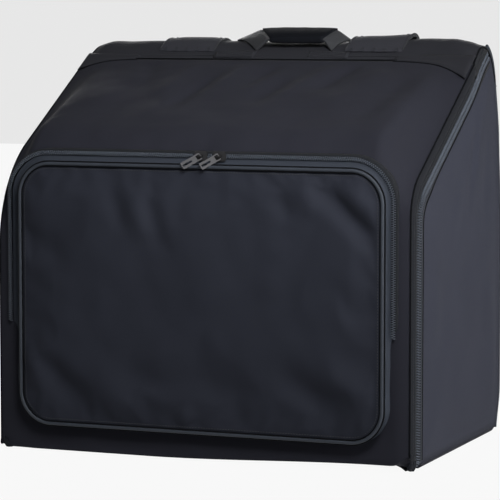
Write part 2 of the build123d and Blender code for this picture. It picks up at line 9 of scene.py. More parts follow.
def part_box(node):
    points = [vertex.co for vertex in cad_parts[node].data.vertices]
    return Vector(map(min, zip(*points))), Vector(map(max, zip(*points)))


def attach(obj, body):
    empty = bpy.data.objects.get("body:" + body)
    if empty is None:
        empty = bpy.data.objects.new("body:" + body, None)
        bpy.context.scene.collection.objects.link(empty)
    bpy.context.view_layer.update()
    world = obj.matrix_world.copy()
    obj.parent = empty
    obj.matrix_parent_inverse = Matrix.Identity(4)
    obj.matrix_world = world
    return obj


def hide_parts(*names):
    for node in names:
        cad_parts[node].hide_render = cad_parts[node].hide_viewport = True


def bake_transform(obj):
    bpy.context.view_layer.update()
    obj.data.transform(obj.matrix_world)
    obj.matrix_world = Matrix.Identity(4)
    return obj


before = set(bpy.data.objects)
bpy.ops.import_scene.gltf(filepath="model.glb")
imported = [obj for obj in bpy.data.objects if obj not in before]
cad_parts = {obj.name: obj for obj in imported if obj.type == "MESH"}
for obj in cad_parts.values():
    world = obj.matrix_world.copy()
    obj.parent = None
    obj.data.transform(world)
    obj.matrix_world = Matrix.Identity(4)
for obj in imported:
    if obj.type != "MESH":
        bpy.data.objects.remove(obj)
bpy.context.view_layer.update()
bpy.ops.object.select_all(action="DESELECT")

# ---------------------------------------------------------------- sizes, in metres

mm = 0.001

half_width = 245 * mm
front_y = -162.5 * mm
back_y = 162.5 * mm
case_height = 458 * mm
front_height = 305 * mm
crown_height = 352 * mm
side_knee = 70 * mm  # bend from front to slope, at the zip
slack_knee = 140 * mm  # the same bend along the slack left edge of the lid
tight_knee = 55 * mm  # and along its right edge
crown_knee = 62 * mm
crown_inset = 38 * mm
top_radius = 50 * mm
edge_round = 5 * mm
foot_round = 3 * mm
heel_round = 14 * mm  # bottom edge at the back
lid_lift = 0.6 * mm
wall = 8 * mm
cloth = 1.6 * mm
lining_inset = 10 * mm
yoke_foot = case_height - top_radius

rise_to_top = case_height - top_radius - front_height
run_to_top = back_y - front_y - top_radius
slope = atan2(rise_to_top, run_to_top) + asin(top_radius / hypot(run_to_top, rise_to_top))
lid_slope = 262 * mm
seam_y = front_y + lid_slope * cos(slope)
seam_z = front_height + lid_slope * sin(slope)
peak_z = front_height + (back_y - front_y) * tan(slope)

zip_inset = 29 * mm
tape_start = 17 * mm
tape_end = 42 * mm
zip_corner = 9 * mm  # bend from the side face to the underside
tooth_pitch = 2.9 * mm

pocket_half_width = 228 * mm
pocket_half_height = 155.5 * mm
pocket_middle = 181.5 * mm
pocket_round = 48 * mm
flap_height = 145 * mm
piping_radius = 1.9 * mm
piping_stand = 15.35 * mm

# ---------------------------------------------------------------- lines that pieces follow


class Line:
    """A flat line of straight runs and arcs: corners in order, each with its radius."""

    def __init__(self, corners, radii):
        self.parts = []
        points = [Vector(c) for c in corners]
        here = points[0]
        for k in range(1, len(points) - 1):
            point, radius = points[k], radii[k]
            before = (points[k - 1] - point).normalized()
            after = (points[k + 1] - point).normalized()
            opening = before.angle(after)
            trim = radius / tan(opening / 2)
            start, end = point + before * trim, point + after * trim
            centre = point + (before + after).normalized() * radius / sin(opening / 2)
            begin = atan2(start.y - centre.y, start.x - centre.x)
            turn = atan2(end.y - centre.y, end.x - centre.x) - begin
            turn = (turn + pi) % (2 * pi) - pi
            self.parts += [("run", here, start), ("arc", centre, begin, turn, radius)]
            here = end
        self.parts.append(("run", here, points[-1]))
        self.lengths = [
            (part[2] - part[1]).length if part[0] == "run" else abs(part[3]) * part[4]
            for part in self.parts
        ]
        self.length = sum(self.lengths)

    def on_part(self, k, share):
        """Point and direction at a share of one run or arc."""
        part = self.parts[k]
        if part[0] == "run":
            return part[1].lerp(part[2], share), (part[2] - part[1]).normalized()
        centre, begin, turn, radius = part[1:]
        angle = begin + turn * share
        point = centre + Vector((cos(angle), sin(angle))) * radius
        return point, Vector((-sin(angle), cos(angle))) * sign_of(turn)

    def at(self, distance):
        """Point and direction at a distance along the line."""
        for k, length in enumerate(self.lengths):
            if distance <= length or k == len(self.lengths) - 1:
                return self.on_part(k, min(max(distance / length, 0), 1) if length else 0)
            distance -= length


def spread(start, end, count):
    return [start + (end - start) * k / (count - 1) for k in range(count)]


def ease(share):
    share = min(max(share, 0), 1)
    return share * share * (3 - 2 * share)


def sign_of(value):
    return 1 if value > 0 else -1


def part_rows(counts):
    """Rows along a line: which run or arc, and how far along it."""
    return [(k, share) for k, count in enumerate(counts) for share in spread(0, 1, count)[min(k, 1):]]


def lid_line(fullness, inset=0.0, radius=side_knee):
    """Side view of the lid from the hinge seam down the slope, the front and under."""
    knee_z = front_height + fullness * (crown_height - front_height)
    angle = atan2(seam_z - knee_z, seam_y - front_y)
    seam = Vector((seam_y + inset * sin(angle), seam_z - inset * cos(angle)))
    knee = Vector((front_y + inset, knee_z + inset * tan(angle) - inset / cos(angle)))
    foot = Vector((front_y + inset, lid_lift + inset))
    back = Vector((front_y + max(tape_start, inset + 4 * mm), lid_lift + inset))
    return Line((seam, knee, foot, back), (0, radius - inset, max(foot_round - inset, 1 * mm), 0))


# The cloth of the front turns round the edge of the case, with a dark seam in the turn:
# how far inside the side face, and how far behind the front, each column lies, in mm.
seam_roll = (
    (0.0, 7.0), (0.0, 5.2), (0.2, 4.2), (0.8, 3.4), (2.0, 2.8),
    (4.0, 2.2), (7.0, 1.4), (10.5, 0.7), (14.0, 0.2), (18.0, 0.0),
)
roll_start = seam_roll[0][1] * mm


def wrapped_columns(count, side_inset, side_count):
    """Columns across the case: up one side face, over its seam, across and down the other."""
    side = [(half_width, d) for d in spread(side_inset, roll_start, side_count)[:-1]]
    half = side + [(half_width - inside * mm, behind * mm) for inside, behind in seam_roll]
    edge = half[-1][0]
    middle = [(x, 0.0) for x in spread(edge, -edge, count)]
    return half + middle[1:-1] + [(-x, d) for x, d in half[::-1]]


def edge_columns(count, side_inset):
    """Columns across a plain panel whose edges are rounded towards the side faces."""
    bend = [
        (half_width - edge_round * (1 - cos(a)), edge_round * (1 - sin(a)))
        for a in spread(0, pi / 2, 5)
    ]
    half = [(half_width, side_inset)] + bend
    middle = [(x, 0.0) for x in spread(half_width - edge_round, -half_width + edge_round, count)]
    return half + middle[1:-1] + [(-x, d) for x, d in half[::-1]]


def creases(x, z, folds):
    """Height of the soft folds at a place; each fold is start, end, width and height."""
    height = 0.0
    for start, end, width, rise in folds:
        a, b = Vector(start), Vector(end)
        run = b - a
        share = min(max((Vector((x, z)) - a).dot(run) / run.length_squared, -0.3), 1.3)
        gap = (Vector((x, z)) - a - run * share).length
        fade = exp(-((2 * share - 1) ** 4))
        height += rise * fade * exp(-((gap / width) ** 2))
    return height


def ripple(point, size, depth):
    """Unevenness of cloth: smooth noise of a given size."""
    return depth * noise.noise(Vector(point) / size)


# ---------------------------------------------------------------- making pieces


def new_piece(name):
    piece = bpy.context.object
    piece.name = name
    piece.data.name = name
    return piece


def cloth_panel(name, across, along, place, inside=(0, 0, 0.2), close_across=False):
    """A grid whose vertices are put in place one by one, with its cloth measured in metres."""
    bpy.ops.mesh.primitive_grid_add(x_subdivisions=across - 1, y_subdivisions=along - 1, size=1)
    piece = new_piece(name)
    mesh = piece.data
    spots = [[Vector(place(i, j)) for i in range(across)] for j in range(along)]
    cells = []
    for vertex in mesh.vertices:
        i = round((vertex.co.x + 0.5) * (across - 1))
        j = round((vertex.co.y + 0.5) * (along - 1))
        cells.append((i, j))
        vertex.co = spots[j][i]
    middle_row, middle_column = spots[along // 2], across // 2
    over = [0.0]
    for a, b in zip(middle_row[:-1], middle_row[1:]):
        over.append(over[-1] + (b - a).length)
    down = [0.0]
    for a, b in zip(spots[:-1], spots[1:]):
        down.append(down[-1] + (b[middle_column] - a[middle_column]).length)
    for corner in mesh.loops:
        i, j = cells[corner.vertex_index]
        mesh.uv_layers[0].data[corner.index].uv = (over[i], down[j])
    mesh.update()
    away = sum((Vector(f.center) - Vector(inside)).dot(f.normal) * f.area for f in mesh.polygons)
    if away < 0:
        mesh.flip_normals()
    if close_across:
        merge_doubles(piece)
    smooth(piece)
    return piece


def edit(piece):
    bpy.ops.object.select_all(action="DESELECT")
    piece.select_set(True)
    bpy.context.view_layer.objects.active = piece
    bpy.ops.object.mode_set(mode="EDIT")
    bpy.ops.mesh.select_all(action="SELECT")


def done():
    bpy.ops.object.mode_set(mode="OBJECT")


def merge_doubles(piece):
    edit(piece)
    bpy.ops.mesh.remove_doubles(threshold=0.01 * mm)
    done()


def outward(piece):
    edit(piece)
    bpy.ops.mesh.normals_make_consistent(inside=False)
    done()


def smooth(piece, angle=None):
    bpy.ops.object.select_all(action="DESELECT")
    piece.select_set(True)
    bpy.context.view_layer.objects.active = piece
    if angle is None:
        bpy.ops.object.shade_smooth()
    else:
        bpy.ops.object.shade_smooth_by_angle(angle=radians(angle))


def apply_modifier(piece, kind, **settings):
    modifier = piece.modifiers.new(kind.title(), kind)
    for key, value in settings.items():
        setattr(modifier, key, value)
    bpy.context.view_layer.objects.active = piece
    bpy.ops.object.modifier_apply(modifier=modifier.name)


def thicken(piece, thickness, offset=-1.0):
    apply_modifier(piece, "SOLIDIFY", thickness=thickness, offset=offset, use_quality_normals=True)


def settle(piece, held, pressure, slack, cap, stiff, frames=20):
    """Cloth simulation of a grid: held vertices stay, the rest move by no more than the cap."""
    before = [v.co.copy() for v in piece.data.vertices]
    pins = piece.vertex_groups.new(name="held")
    pins.add([v.index for v in piece.data.vertices if held(v.co)], 1.0, "REPLACE")
    modifier = piece.modifiers.new("Cloth", "CLOTH")
    modifier.collision_settings.use_collision = False
    modifier.point_cache.frame_start, modifier.point_cache.frame_end = 1, frames
    cloth_settings = modifier.settings
    cloth_settings.quality = 5
    cloth_settings.mass = 0.3
    cloth_settings.tension_stiffness = cloth_settings.compression_stiffness = 15
    cloth_settings.bending_stiffness = stiff
    cloth_settings.air_damping = 2
    cloth_settings.vertex_group_mass = "held"
    cloth_settings.use_pressure = True
    cloth_settings.uniform_pressure_force = pressure
    cloth_settings.shrink_min = cloth_settings.shrink_max = -slack
    cloth_settings.effector_weights.gravity = 0
    for step in range(1, frames + 1):
        bpy.context.scene.frame_set(step)
    bpy.context.view_layer.objects.active = piece
    bpy.ops.object.modifier_apply(modifier=modifier.name)
    bpy.context.scene.frame_set(1)
    for vertex, start in zip(piece.data.vertices, before):
        move = vertex.co - start
        if move.length > cap:
            vertex.co = start + move * (cap / move.length)
    piece.vertex_groups.clear()
    piece.data.update()


def join(name, pieces):
    """Several pieces made one."""
    bpy.ops.object.select_all(action="DESELECT")
    for piece in pieces:
        piece.select_set(True)
    bpy.context.view_layer.objects.active = pieces[0]
    if len(pieces) > 1:
        bpy.ops.object.join()
    return new_piece(name)


def belt(name, stations, section, close=False):
    """A band swept along stations (point, across, out); section gives (across, out) offsets."""
    outline = list(section) + [section[0]]
    rows = list(stations) + ([stations[0]] if close else [])

    def place(i, j):
        point, over, out = rows[j]
        a, o = outline[i]
        return point + over * a + out * o

    piece = cloth_panel(name, len(outline), len(rows), place)
    merge_doubles(piece)
    if not close:
        cap_ends(piece)
    outward(piece)
    return piece


def cap_ends(piece):
    """Closes the open ends of a swept band."""
    edit(piece)
    bpy.ops.mesh.select_all(action="DESELECT")
    bpy.ops.mesh.select_non_manifold(extend=False, use_boundary=True, use_wire=False,
                                     use_multi_face=False, use_non_contiguous=False, use_verts=False)
    bpy.ops.mesh.edge_face_add()
    done()


def round_section(width, height, round_by, steps=3):
    """Outline of a flat band with round edges, centred on the line."""
    points = []
    for sx, sy, start in ((1, 1, 0), (-1, 1, pi / 2), (-1, -1, pi), (1, -1, 3 * pi / 2)):
        cx, cy = sx * (width / 2 - round_by), sy * (height / 2 - round_by)
        points += [(cx + round_by * cos(start + a), cy + round_by * sin(start + a))
                   for a in spread(0, pi / 2, steps)]
    return points


def circle_section(radius, count):
    return [(radius * cos(2 * pi * k / count), radius * sin(2 * pi * k / count)) for k in range(count)]


def copies(name, make, stations):
    """One small shape, modelled once and set along stations (point, x, y, z directions)."""
    seed = make()
    source = [v.co.copy() for v in seed.data.vertices]
    faces = [tuple(p.vertices) for p in seed.data.polygons]
    bpy.data.objects.remove(seed)
    points, polygons = [], []
    for point, ax, ay, az in stations:
        base = len(points)
        points += [point + ax * v.x + ay * v.y + az * v.z for v in source]
        polygons += [tuple(base + k for k in face) for face in faces]
    mesh = bpy.data.meshes.new(name)
    mesh.from_pydata(points, [], polygons)
    mesh.update()
    piece = bpy.data.objects.new(name, mesh)
    bpy.context.scene.collection.objects.link(piece)
    smooth(piece, 50)
    return piece


stitch_length, stitch_width, stitch_thick = 2.2 * mm, 0.7 * mm, 0.6 * mm
stitch_dip = 0.5 * mm  # how far its ends lie deeper than its middle
stitch_stand = 0.25 * mm  # its middle above the cloth


def one_stitch():
    """A short thread that dips into the cloth at both ends."""
    bpy.ops.mesh.primitive_cube_add(size=1)
    stitch = new_piece("stitch")
    for vertex in stitch.data.vertices:
        x, y, z = vertex.co
        vertex.co = Vector((x * stitch_length, y * stitch_width, z * stitch_thick))
    edit(stitch)
    bpy.ops.mesh.subdivide(number_cuts=1)
    done()
    for vertex in stitch.data.vertices:
        vertex.co.z -= stitch_dip * (vertex.co.x / (stitch_length / 2)) ** 2
    return stitch


def stitched(path, outs, pitch=3.2 * mm):
    """Stations for stitches along a path of points, each with the cloth's outward direction."""
    stations, carry = [], pitch / 2
    for a, b, out in zip(path[:-1], path[1:], outs):
        a, b = Vector(a), Vector(b)
        length = (b - a).length
        if length < 1e-6:
            continue
        way = (b - a) / length
        over = Vector(out).cross(way).normalized()
        while carry <= length:
            stations.append((a + way * carry + Vector(out) * stitch_stand, way, over, way.cross(over)))
            carry += pitch
        carry -= length
    return stations


# ---------------------------------------------------------------- shader maths


class Value:
    """A socket that can be used in sums and products."""

    def __init__(self, paint, socket):
        self.paint, self.socket = paint, socket

    def _math(self, operation, *others):
        return self.paint.node("Math", 0, {"operation": operation}, self, *others)

    def __add__(self, other):
        return self._math("ADD", other)

    def __mul__(self, other):
        return self._math("MULTIPLY", other)

    __radd__, __rmul__ = __add__, __mul__

    def sine(self):
        return self._math("SINE")

    def at_least(self, other):
        return self._math("MAXIMUM", other)


class Paint:
    """A node tree that is built up by expressions."""

    def __init__(self, tree):
        self.tree = tree

    def feed(self, slot, value):
        if isinstance(value, Value):
            self.tree.links.new(value.socket, slot)
        else:
            slot.default_value = value

    def node(self, kind, output=0, settings=None, *values, **sockets):
        """One node: its settings first, then its sockets, in order or by name."""
        node = self.tree.nodes.new("ShaderNode" + kind)
        for key, value in (settings or {}).items():
            setattr(node, key, value)
        for slot, value in zip(node.inputs, values):
            self.feed(slot, value)
        for key, value in sockets.items():
            self.feed(node.inputs[key.replace("_", " ")], value)
        return Value(self, node.outputs[output])

    def output(self, name):
        """The last socket of the tree, where the shader goes in."""
        return self.tree.nodes[name].inputs[0]


class Finish(Paint):
    """A material with one Principled shader."""

    def __init__(self, name, **constants):
        self.material = bpy.data.materials.new(name)
        self.material.use_nodes = True
        super().__init__(self.material.node_tree)
        self.shader = self.tree.nodes["Principled BSDF"]
        for key, value in constants.items():
            self.shader.inputs[key.replace("_", " ")].default_value = value

    def places(self):
        """Object coordinates."""
        return self.node("TexCoord", 3)

    def cloth_axes(self):
        """The piece's own cloth coordinates, across and along."""
        split = self.node("SeparateXYZ", 0, None, self.node("UVMap")).socket.node
        return Value(self, split.outputs[0]), Value(self, split.outputs[1])

    def noise(self, vector, scale, detail=2.0):
        return self.node("TexNoise", Vector=vector, Scale=scale, Detail=detail)

    def mix(self, share, a, b):
        node = self.tree.nodes.new("ShaderNodeMix")
        node.data_type = "RGBA"
        for slot, value in ((0, share), (6, a), (7, b)):
            self.feed(node.inputs[slot], value)
        return Value(self, node.outputs[2])

    def surface(self, colour, rough, height, distance):
        """Feeds the shader's colour, roughness and bump."""
        self.feed(self.shader.inputs["Base Color"], colour)
        self.feed(self.shader.inputs["Roughness"], rough)
        relief = self.node("Bump", Strength=1.0, Distance=distance, Height=height)
        self.feed(self.shader.inputs["Normal"], relief)


def rgb(tint, share):
    return (tint[0] * share, tint[1] * share, tint[2] * share, 1.0)


def nylon(name, tint, thread=0.75 * mm, rough=0.78, sheen=0.02):
    """Woven nylon: crossing threads, soft unevenness and a little sheen."""
    paint = Finish(name, Sheen_Weight=sheen, Sheen_Roughness=0.5, Specular_IOR_Level=0.14)
    u, v = paint.cloth_axes()
    turn = 2 * pi / thread
    weave = (u * turn).sine() * (v * turn).sine()
    place = paint.places()
    broad = paint.noise(place, 11.0, 3.0)
    fine = paint.noise(place, 900.0)
    shade = paint.mix(broad, rgb(tint, 0.84), rgb(tint, 1.16))
    threads = paint.mix(weave * 0.5 + 0.5, rgb(tint, 0.82), rgb(tint, 1.18))
    flecks = paint.mix(fine, rgb(tint, 0.75), rgb(tint, 1.25))
    colour = paint.mix(0.3, paint.mix(0.22, shade, threads), flecks)
    paint.surface(colour, fine * 0.14 + (rough - 0.07), weave * 0.4 + fine * 0.8, 0.10 * mm)
    return paint.material


def webbing_cloth(name, tint, rib=1.6 * mm):
    """Heavy webbing with ribs along its length."""
    paint = Finish(name, Sheen_Weight=0.03, Specular_IOR_Level=0.2)
    u, v = paint.cloth_axes()
    ribs = (u * (2 * pi / rib)).sine()
    beads = (v * (2 * pi / (1.1 * mm))).sine()
    fine = paint.noise(paint.places(), 700.0)
    colour = paint.mix(ribs * 0.5 + 0.5, rgb(tint, 0.75), rgb(tint, 1.15))
    paint.surface(colour, fine * 0.15 + 0.5, ribs * 0.6 + beads * ribs * 0.4 + fine * 0.6, 0.25 * mm)
    return paint.material


def smooth_finish(name, tint, rough, metal=0.0, grain=0.05 * mm, scale=500.0, shine=0.5):
    """Moulded, coated or metal surface with fine wear."""
    paint = Finish(name, Metallic=metal, Specular_IOR_Level=shine)
    place = paint.places()
    wear = paint.noise(place, 60.0, 4.0)
    fine = paint.noise(place, scale)
    colour = paint.mix(wear, rgb(tint, 0.8), rgb(tint, 1.25))
    paint.surface(colour, wear * 0.2 + (rough - 0.1), fine, grain)
    return paint.material


shell_cloth = nylon("shell_nylon", (0.0214, 0.0222, 0.0314))
# Darker cloth for the strip beside the zip, the lid's folded edge and the gathered corners: painted shade.
band_shade_cloth = nylon("band_nylon_painted_shade", (0.012, 0.0135, 0.018), thread=0.9 * mm)
side_cloth = nylon("side_nylon", (0.040, 0.043, 0.062))
yoke_cloth = nylon("yoke_nylon", (0.0245, 0.0252, 0.0312), thread=1.0 * mm)
pocket_cloth = nylon("pocket_nylon", (0.0240, 0.0268, 0.0385))
# The pocket's cloth made lighter on the gusset, to make up for the shade on its slant: painted light.
gusset_painted_light_cloth = nylon("gusset_nylon_painted_light", (0.040, 0.047, 0.062))
piping_cloth = smooth_finish("piping_vinyl", (0.038, 0.045, 0.058), 0.6, grain=0.08 * mm, shine=0.3)
tape_cloth = webbing_cloth("zip_tape_weave", (0.032, 0.038, 0.050), rib=0.9 * mm)
dark_tape = webbing_cloth("dark_zip_tape_weave", (0.010, 0.012, 0.016), rib=0.9 * mm)
teeth_finish = smooth_finish("zip_teeth_nylon", (0.088, 0.102, 0.128), 0.5, shine=0.3)
slider_metal = smooth_finish("slider_metal", (0.055, 0.055, 0.058), 0.6, metal=1.0, grain=0.03 * mm)
belt_cloth = webbing_cloth("belt_webbing", (0.040, 0.042, 0.047))
grip_vinyl = smooth_finish("grip_vinyl", (0.0080, 0.0090, 0.0118), 0.85, grain=0.12 * mm, scale=900.0,
                           shine=0.05)
pad_cloth = nylon("pad_nylon", (0.038, 0.039, 0.048))
lining_cloth = nylon("lining_pile", (0.045, 0.045, 0.05), rough=0.85, sheen=0.2)
board_finish = smooth_finish("board_sheet", (0.04, 0.04, 0.04), 0.7)
buckle_plastic = smooth_finish("buckle_plastic", (0.022, 0.022, 0.023), 0.45)
stitch_thread = smooth_finish("stitch_thread", (0.034, 0.036, 0.042), 0.6, shine=0.3)
# Near-black cord laid along seams: painted shade of the seam folds.
seam_shade_cord = smooth_finish("seam_shade_cord", (0.004, 0.0045, 0.006), 0.85, shine=0.1)


def only_material(piece, material):
    piece.data.materials.clear()
    piece.data.materials.append(material)


def finish_piece(piece, material, body, replaced=(), *, slot):
    """Gives a piece its material, its body and the solids that it stands for; slot is not used."""
    only_material(piece, material)
    if body:
        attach(piece, body)
    if replaced:
        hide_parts(*replaced)


# ---------------------------------------------------------------- lid

slope_folds = (
    # start, end, width and height of each fold on the slope: (x, distance down from the seam)
    ((-0.150, 0.010), (-0.128, 0.090), 0.012, -1.5 * mm),
    ((-0.085, 0.005), (-0.100, 0.120), 0.014, 1.4 * mm),
    ((-0.050, 0.060), (-0.072, 0.160), 0.010, -2.2 * mm),
    ((-0.024, 0.010), (-0.040, 0.110), 0.014, 1.5 * mm),
    ((0.012, 0.020), (-0.004, 0.095), 0.009, -1.6 * mm),
    ((0.040, 0.060), (0.024, 0.150), 0.012, -1.8 * mm),
    ((0.085, 0.015), (0.052, 0.125), 0.013, 2.0 * mm),
    ((0.112, 0.010), (0.086, 0.105), 0.010, -2.2 * mm),
    ((0.150, 0.040), (0.118, 0.150), 0.018, 1.4 * mm),
    ((-0.190, 0.050), (-0.155, 0.180), 0.026, 1.3 * mm),
    ((0.185, 0.060), (0.165, 0.190), 0.014, -1.5 * mm),
)


def fullness(x):
    """1 over the padded middle of the lid, 0 along its side seams."""
    return ease((half_width - edge_round - abs(x)) / crown_inset)


def knee_at(x):
    """Radius of the bend from front to slope: slack at the left edge, tight at the right."""
    full = fullness(x)
    edge = slack_knee if x < 0 else tight_knee
    return edge + full * (crown_knee - edge)


def front_rise(x, y):
    """How far the front edge is drawn up off the floor: mostly towards its right corner."""
    behind = y - front_y
    right = 7.4 * mm * ease((x + 60 * mm) / (275 * mm)) * (1 - ease(behind / (110 * mm)))
    left = 0.4 * mm * ease((-x - 200 * mm) / (20 * mm)) * (1 - ease(behind / (60 * mm)))
    corner = 8.0 * mm * ease((x - 224 * mm) / (20 * mm)) * (1 - ease(behind / (20 * mm)))
    inner = 1 - ease((x - 222 * mm) / (20 * mm)) * ease(behind / (24 * mm))
    return right * inner + left + corner


def raised(x, y, z):
    """The rise of the front edge, dying away up the front."""
    return (1 - ease((z - lid_lift) / (45 * mm))) * front_rise(x, y)


slope_fold_depth = 1.9  # the heights of the folds above are taken this many times


def slope_stand(x, run):
    """How far the padded slope stands out at a distance down from the hinge seam."""
    middle = ease((half_width - 10 * mm - abs(x)) / (45 * mm)) * ease(run / (30 * mm))
    swell = 2.5 * mm * sin(pi * min(run / (270 * mm), 1))
    folds = slope_fold_depth * creases(x, run, slope_folds)
    uneven = ripple((x, run, 0), 0.055, 2.2 * mm) + ripple((x, run, 1), 0.022, 0.7 * mm)
    return middle * (swell + folds + uneven)


def lid_place(columns, rows, inset=0.0, bulge=1.0):
    """Places for a cloth over the lid; beyond the seam's roll it runs on to the zip tape."""
    tape_edge = lid_line(0, tape_start)
    lines = {}

    def place(i, j):
        x, behind = columns[i]
        k, share, run = rows[j]
        if x not in lines:
            lines[x] = lid_line(fullness(x), radius=knee_at(x))
        point, way = lines[x].on_part(k, share)
        out = Vector((way.y, -way.x))
        if abs(x) > half_width - 0.01 * mm and behind > roll_start:
            over = (behind - roll_start) / (tape_start - roll_start)
            at = (point - out * roll_start).lerp(tape_edge.on_part(k, share)[0], over)
            x += sign_of(x) * 1.0 * mm * sin(pi * over)
        else:
            lift = bulge * slope_stand(x, run) if k <= 2 else 0.0
            at = point + out * (lift - behind - inset)
        return (x, at.x, at.y + raised(x, at.x, at.y))

    return place


lid_runs = (0.215, 0.065, 0.290, 0.009, 0.011)  # slope, bend, front, turn under and underside
lid_rows = [
    (k, share, sum(lid_runs[:k]) + share * lid_runs[k]) for k, share in part_rows((46, 26, 44, 5, 3))
]

lid_columns = wrapped_columns(100, tape_start, 6)
lid_skin = cloth_panel("lid_skin", len(lid_columns), len(lid_rows), lid_place(lid_columns, lid_rows))
thicken(lid_skin, cloth)
finish_piece(lid_skin, shell_cloth, "lid", ("lid_panel", "left_lid_gusset", "right_lid_gusset"),
             slot="shell")


def darken_band(piece):
    """The strip between the front's edge and the zip, and the cloth's turn into the seam, are coloured
    darker: painted shade along the seam and beside the zip.
    """
    piece.data.materials.append(band_shade_cloth)
    for face in piece.data.polygons:
        beyond = half_width - abs(face.center.x)
        if beyond < 0.25 * mm or (beyond < 9 * mm and abs(face.normal.x) > 0.85):
            face.material_index = 1


darken_band(lid_skin)

lining_edge = half_width - lining_inset
lining_flange = [(half_width - 1.5 * mm, 6.8 * mm), (lining_edge + 0.3 * mm, 6.8 * mm)]
lining_columns = [(x, 0.0) for x in spread(lining_edge, -lining_edge, 40)]
lining_columns = lining_flange + lining_columns + [(-x, d) for x, d in lining_flange[::-1]]
lining_rows = [row for row in lid_rows if row[0] < 3][::3]
lid_lining = cloth_panel("lid_lining_skin", len(lining_columns), len(lining_rows),
                         lid_place(lining_columns, lining_rows, 9.5 * mm, 0.6))
thicken(lid_lining, 1.0 * mm)
finish_piece(lid_lining, lining_cloth, "lid", ("lid_lining",), slot="lining")

# ---------------------------------------------------------------- yoke, sides, back and bottom


def flare(y, z):
    """The side faces lean out towards the back low down, and in at the top."""
    low = (1 - ease((z - 230 * mm) / (150 * mm))) * ease((z + 5 * mm) / (60 * mm))
    out = 4.0 * mm * ease((y + 60 * mm) / (200 * mm)) * low
    return out - 4.5 * mm * ease((y - 40 * mm) / (80 * mm)) * ease((z - 350 * mm) / (80 * mm))


def leaning(x, y, z, from_middle, over):
    """The same lean, carried over from the sides on to a cloth between them."""
    return flare(y, z) * ease((abs(x) - from_middle) / over) * sign_of(x)


yoke_line = Line(((seam_y, seam_z), (back_y, peak_z), (back_y, yoke_foot)), (0, top_radius, 0))
yoke_columns = wrapped_columns(90, tape_start, 6)
yoke_rows = part_rows((10, 26, 2))


def yoke_puff(x, y):
    """The yoke stands up a little at the right and is drawn down at its back corners."""
    back = ease((y - seam_y) / (60 * mm))
    stand = 4.5 * mm * ease((x - 120 * mm) / (50 * mm)) * (1 - ease((x - 205 * mm) / (35 * mm)))
    corner = -2.0 * mm * ease((abs(x) - 228 * mm) / (16 * mm))
    return back * (stand + corner)


def yoke_lift(x, y, z):
    """The same, dying away at the foot of the yoke's back."""
    return yoke_puff(x, y) * ease((z - yoke_foot) / (30 * mm))


def yoke_place(i, j):
    x, behind = yoke_columns[i]
    k, share = yoke_rows[j]
    point, way = yoke_line.on_part(k, share)
    out = Vector((-way.y, way.x))
    lift = yoke_lift(x, *point)
    if behind > 0:  # the side band narrows away over the back corner
        behind *= 1 - 0.8 * ease((k + share - 1.0) / 0.5)
    if behind <= roll_start:
        middle = ease((half_width - 8 * mm - abs(x)) / (40 * mm))
        lift += middle * (ripple((x, point.x, 3), 0.05, 1.5 * mm) + ripple((x, point.x, 5), 0.02, 0.5 * mm))
    at = point + out * (lift - behind + 0.3 * mm)
    return (x + leaning(x, *at, 170 * mm, 70 * mm), at.x, at.y)


yoke_skin = cloth_panel("yoke_skin", len(yoke_columns), len(yoke_rows), yoke_place)
thicken(yoke_skin, cloth)
finish_piece(yoke_skin, yoke_cloth, "case", ("top_yoke", "left_corner_strip", "right_corner_strip"),
             slot="shell")
darken_band(yoke_skin)

full_pull = 6.0 * mm


def seam_pull(z):
    """How much nearer to the zip the side's cloth comes along the slope than down the front."""
    return full_pull * ease((z - 290 * mm) / (40 * mm))


def side_reach(z):
    """Front and back edge of a side wall at a height."""
    front = front_y + tape_end
    knee = Vector((front, front_height + tape_end * tan(slope) - tape_end / cos(slope)))
    radius = side_knee - tape_end
    trim = radius * tan((pi / 2 - slope) / 2)
    if z > knee.y + trim * sin(slope):
        front = knee.x + (z - knee.y) / tan(slope)
    elif z > knee.y - trim:
        up = z - (knee.y - trim)
        front = knee.x + radius - (radius**2 - min(up, radius) ** 2) ** 0.5
    front -= seam_pull(z) / sin(slope)
    back = back_y - edge_round
    if z > yoke_foot:
        small = top_radius - 3 * mm
        back = back_y - top_radius + (small**2 - min(z - yoke_foot, small) ** 2) ** 0.5 - 2 * mm
    if z < heel_round:
        back -= heel_round - (heel_round**2 - (heel_round - z) ** 2) ** 0.5
    return min(front, back), back


side_top = 441 * mm
side_heights = spread(edge_round, 260 * mm, 30) + spread(265 * mm, yoke_foot - 2 * mm, 34)
side_heights += spread(yoke_foot, side_top, 12)

side_folds = (
    # soft upright folds below the slanting zip: start, end, width, height at (y, z)
    ((0.060, 0.300), (0.075, 0.380), 0.010, 1.6 * mm),
    ((0.035, 0.270), (0.060, 0.360), 0.009, -1.8 * mm),
    ((0.095, 0.250), (0.105, 0.370), 0.013, -1.6 * mm),
    ((-0.020, 0.240), (0.015, 0.310), 0.012, 1.4 * mm),
    ((-0.060, 0.120), (-0.050, 0.220), 0.020, -1.2 * mm),
    ((0.130, 0.060), (0.110, 0.180), 0.022, 1.5 * mm),
)

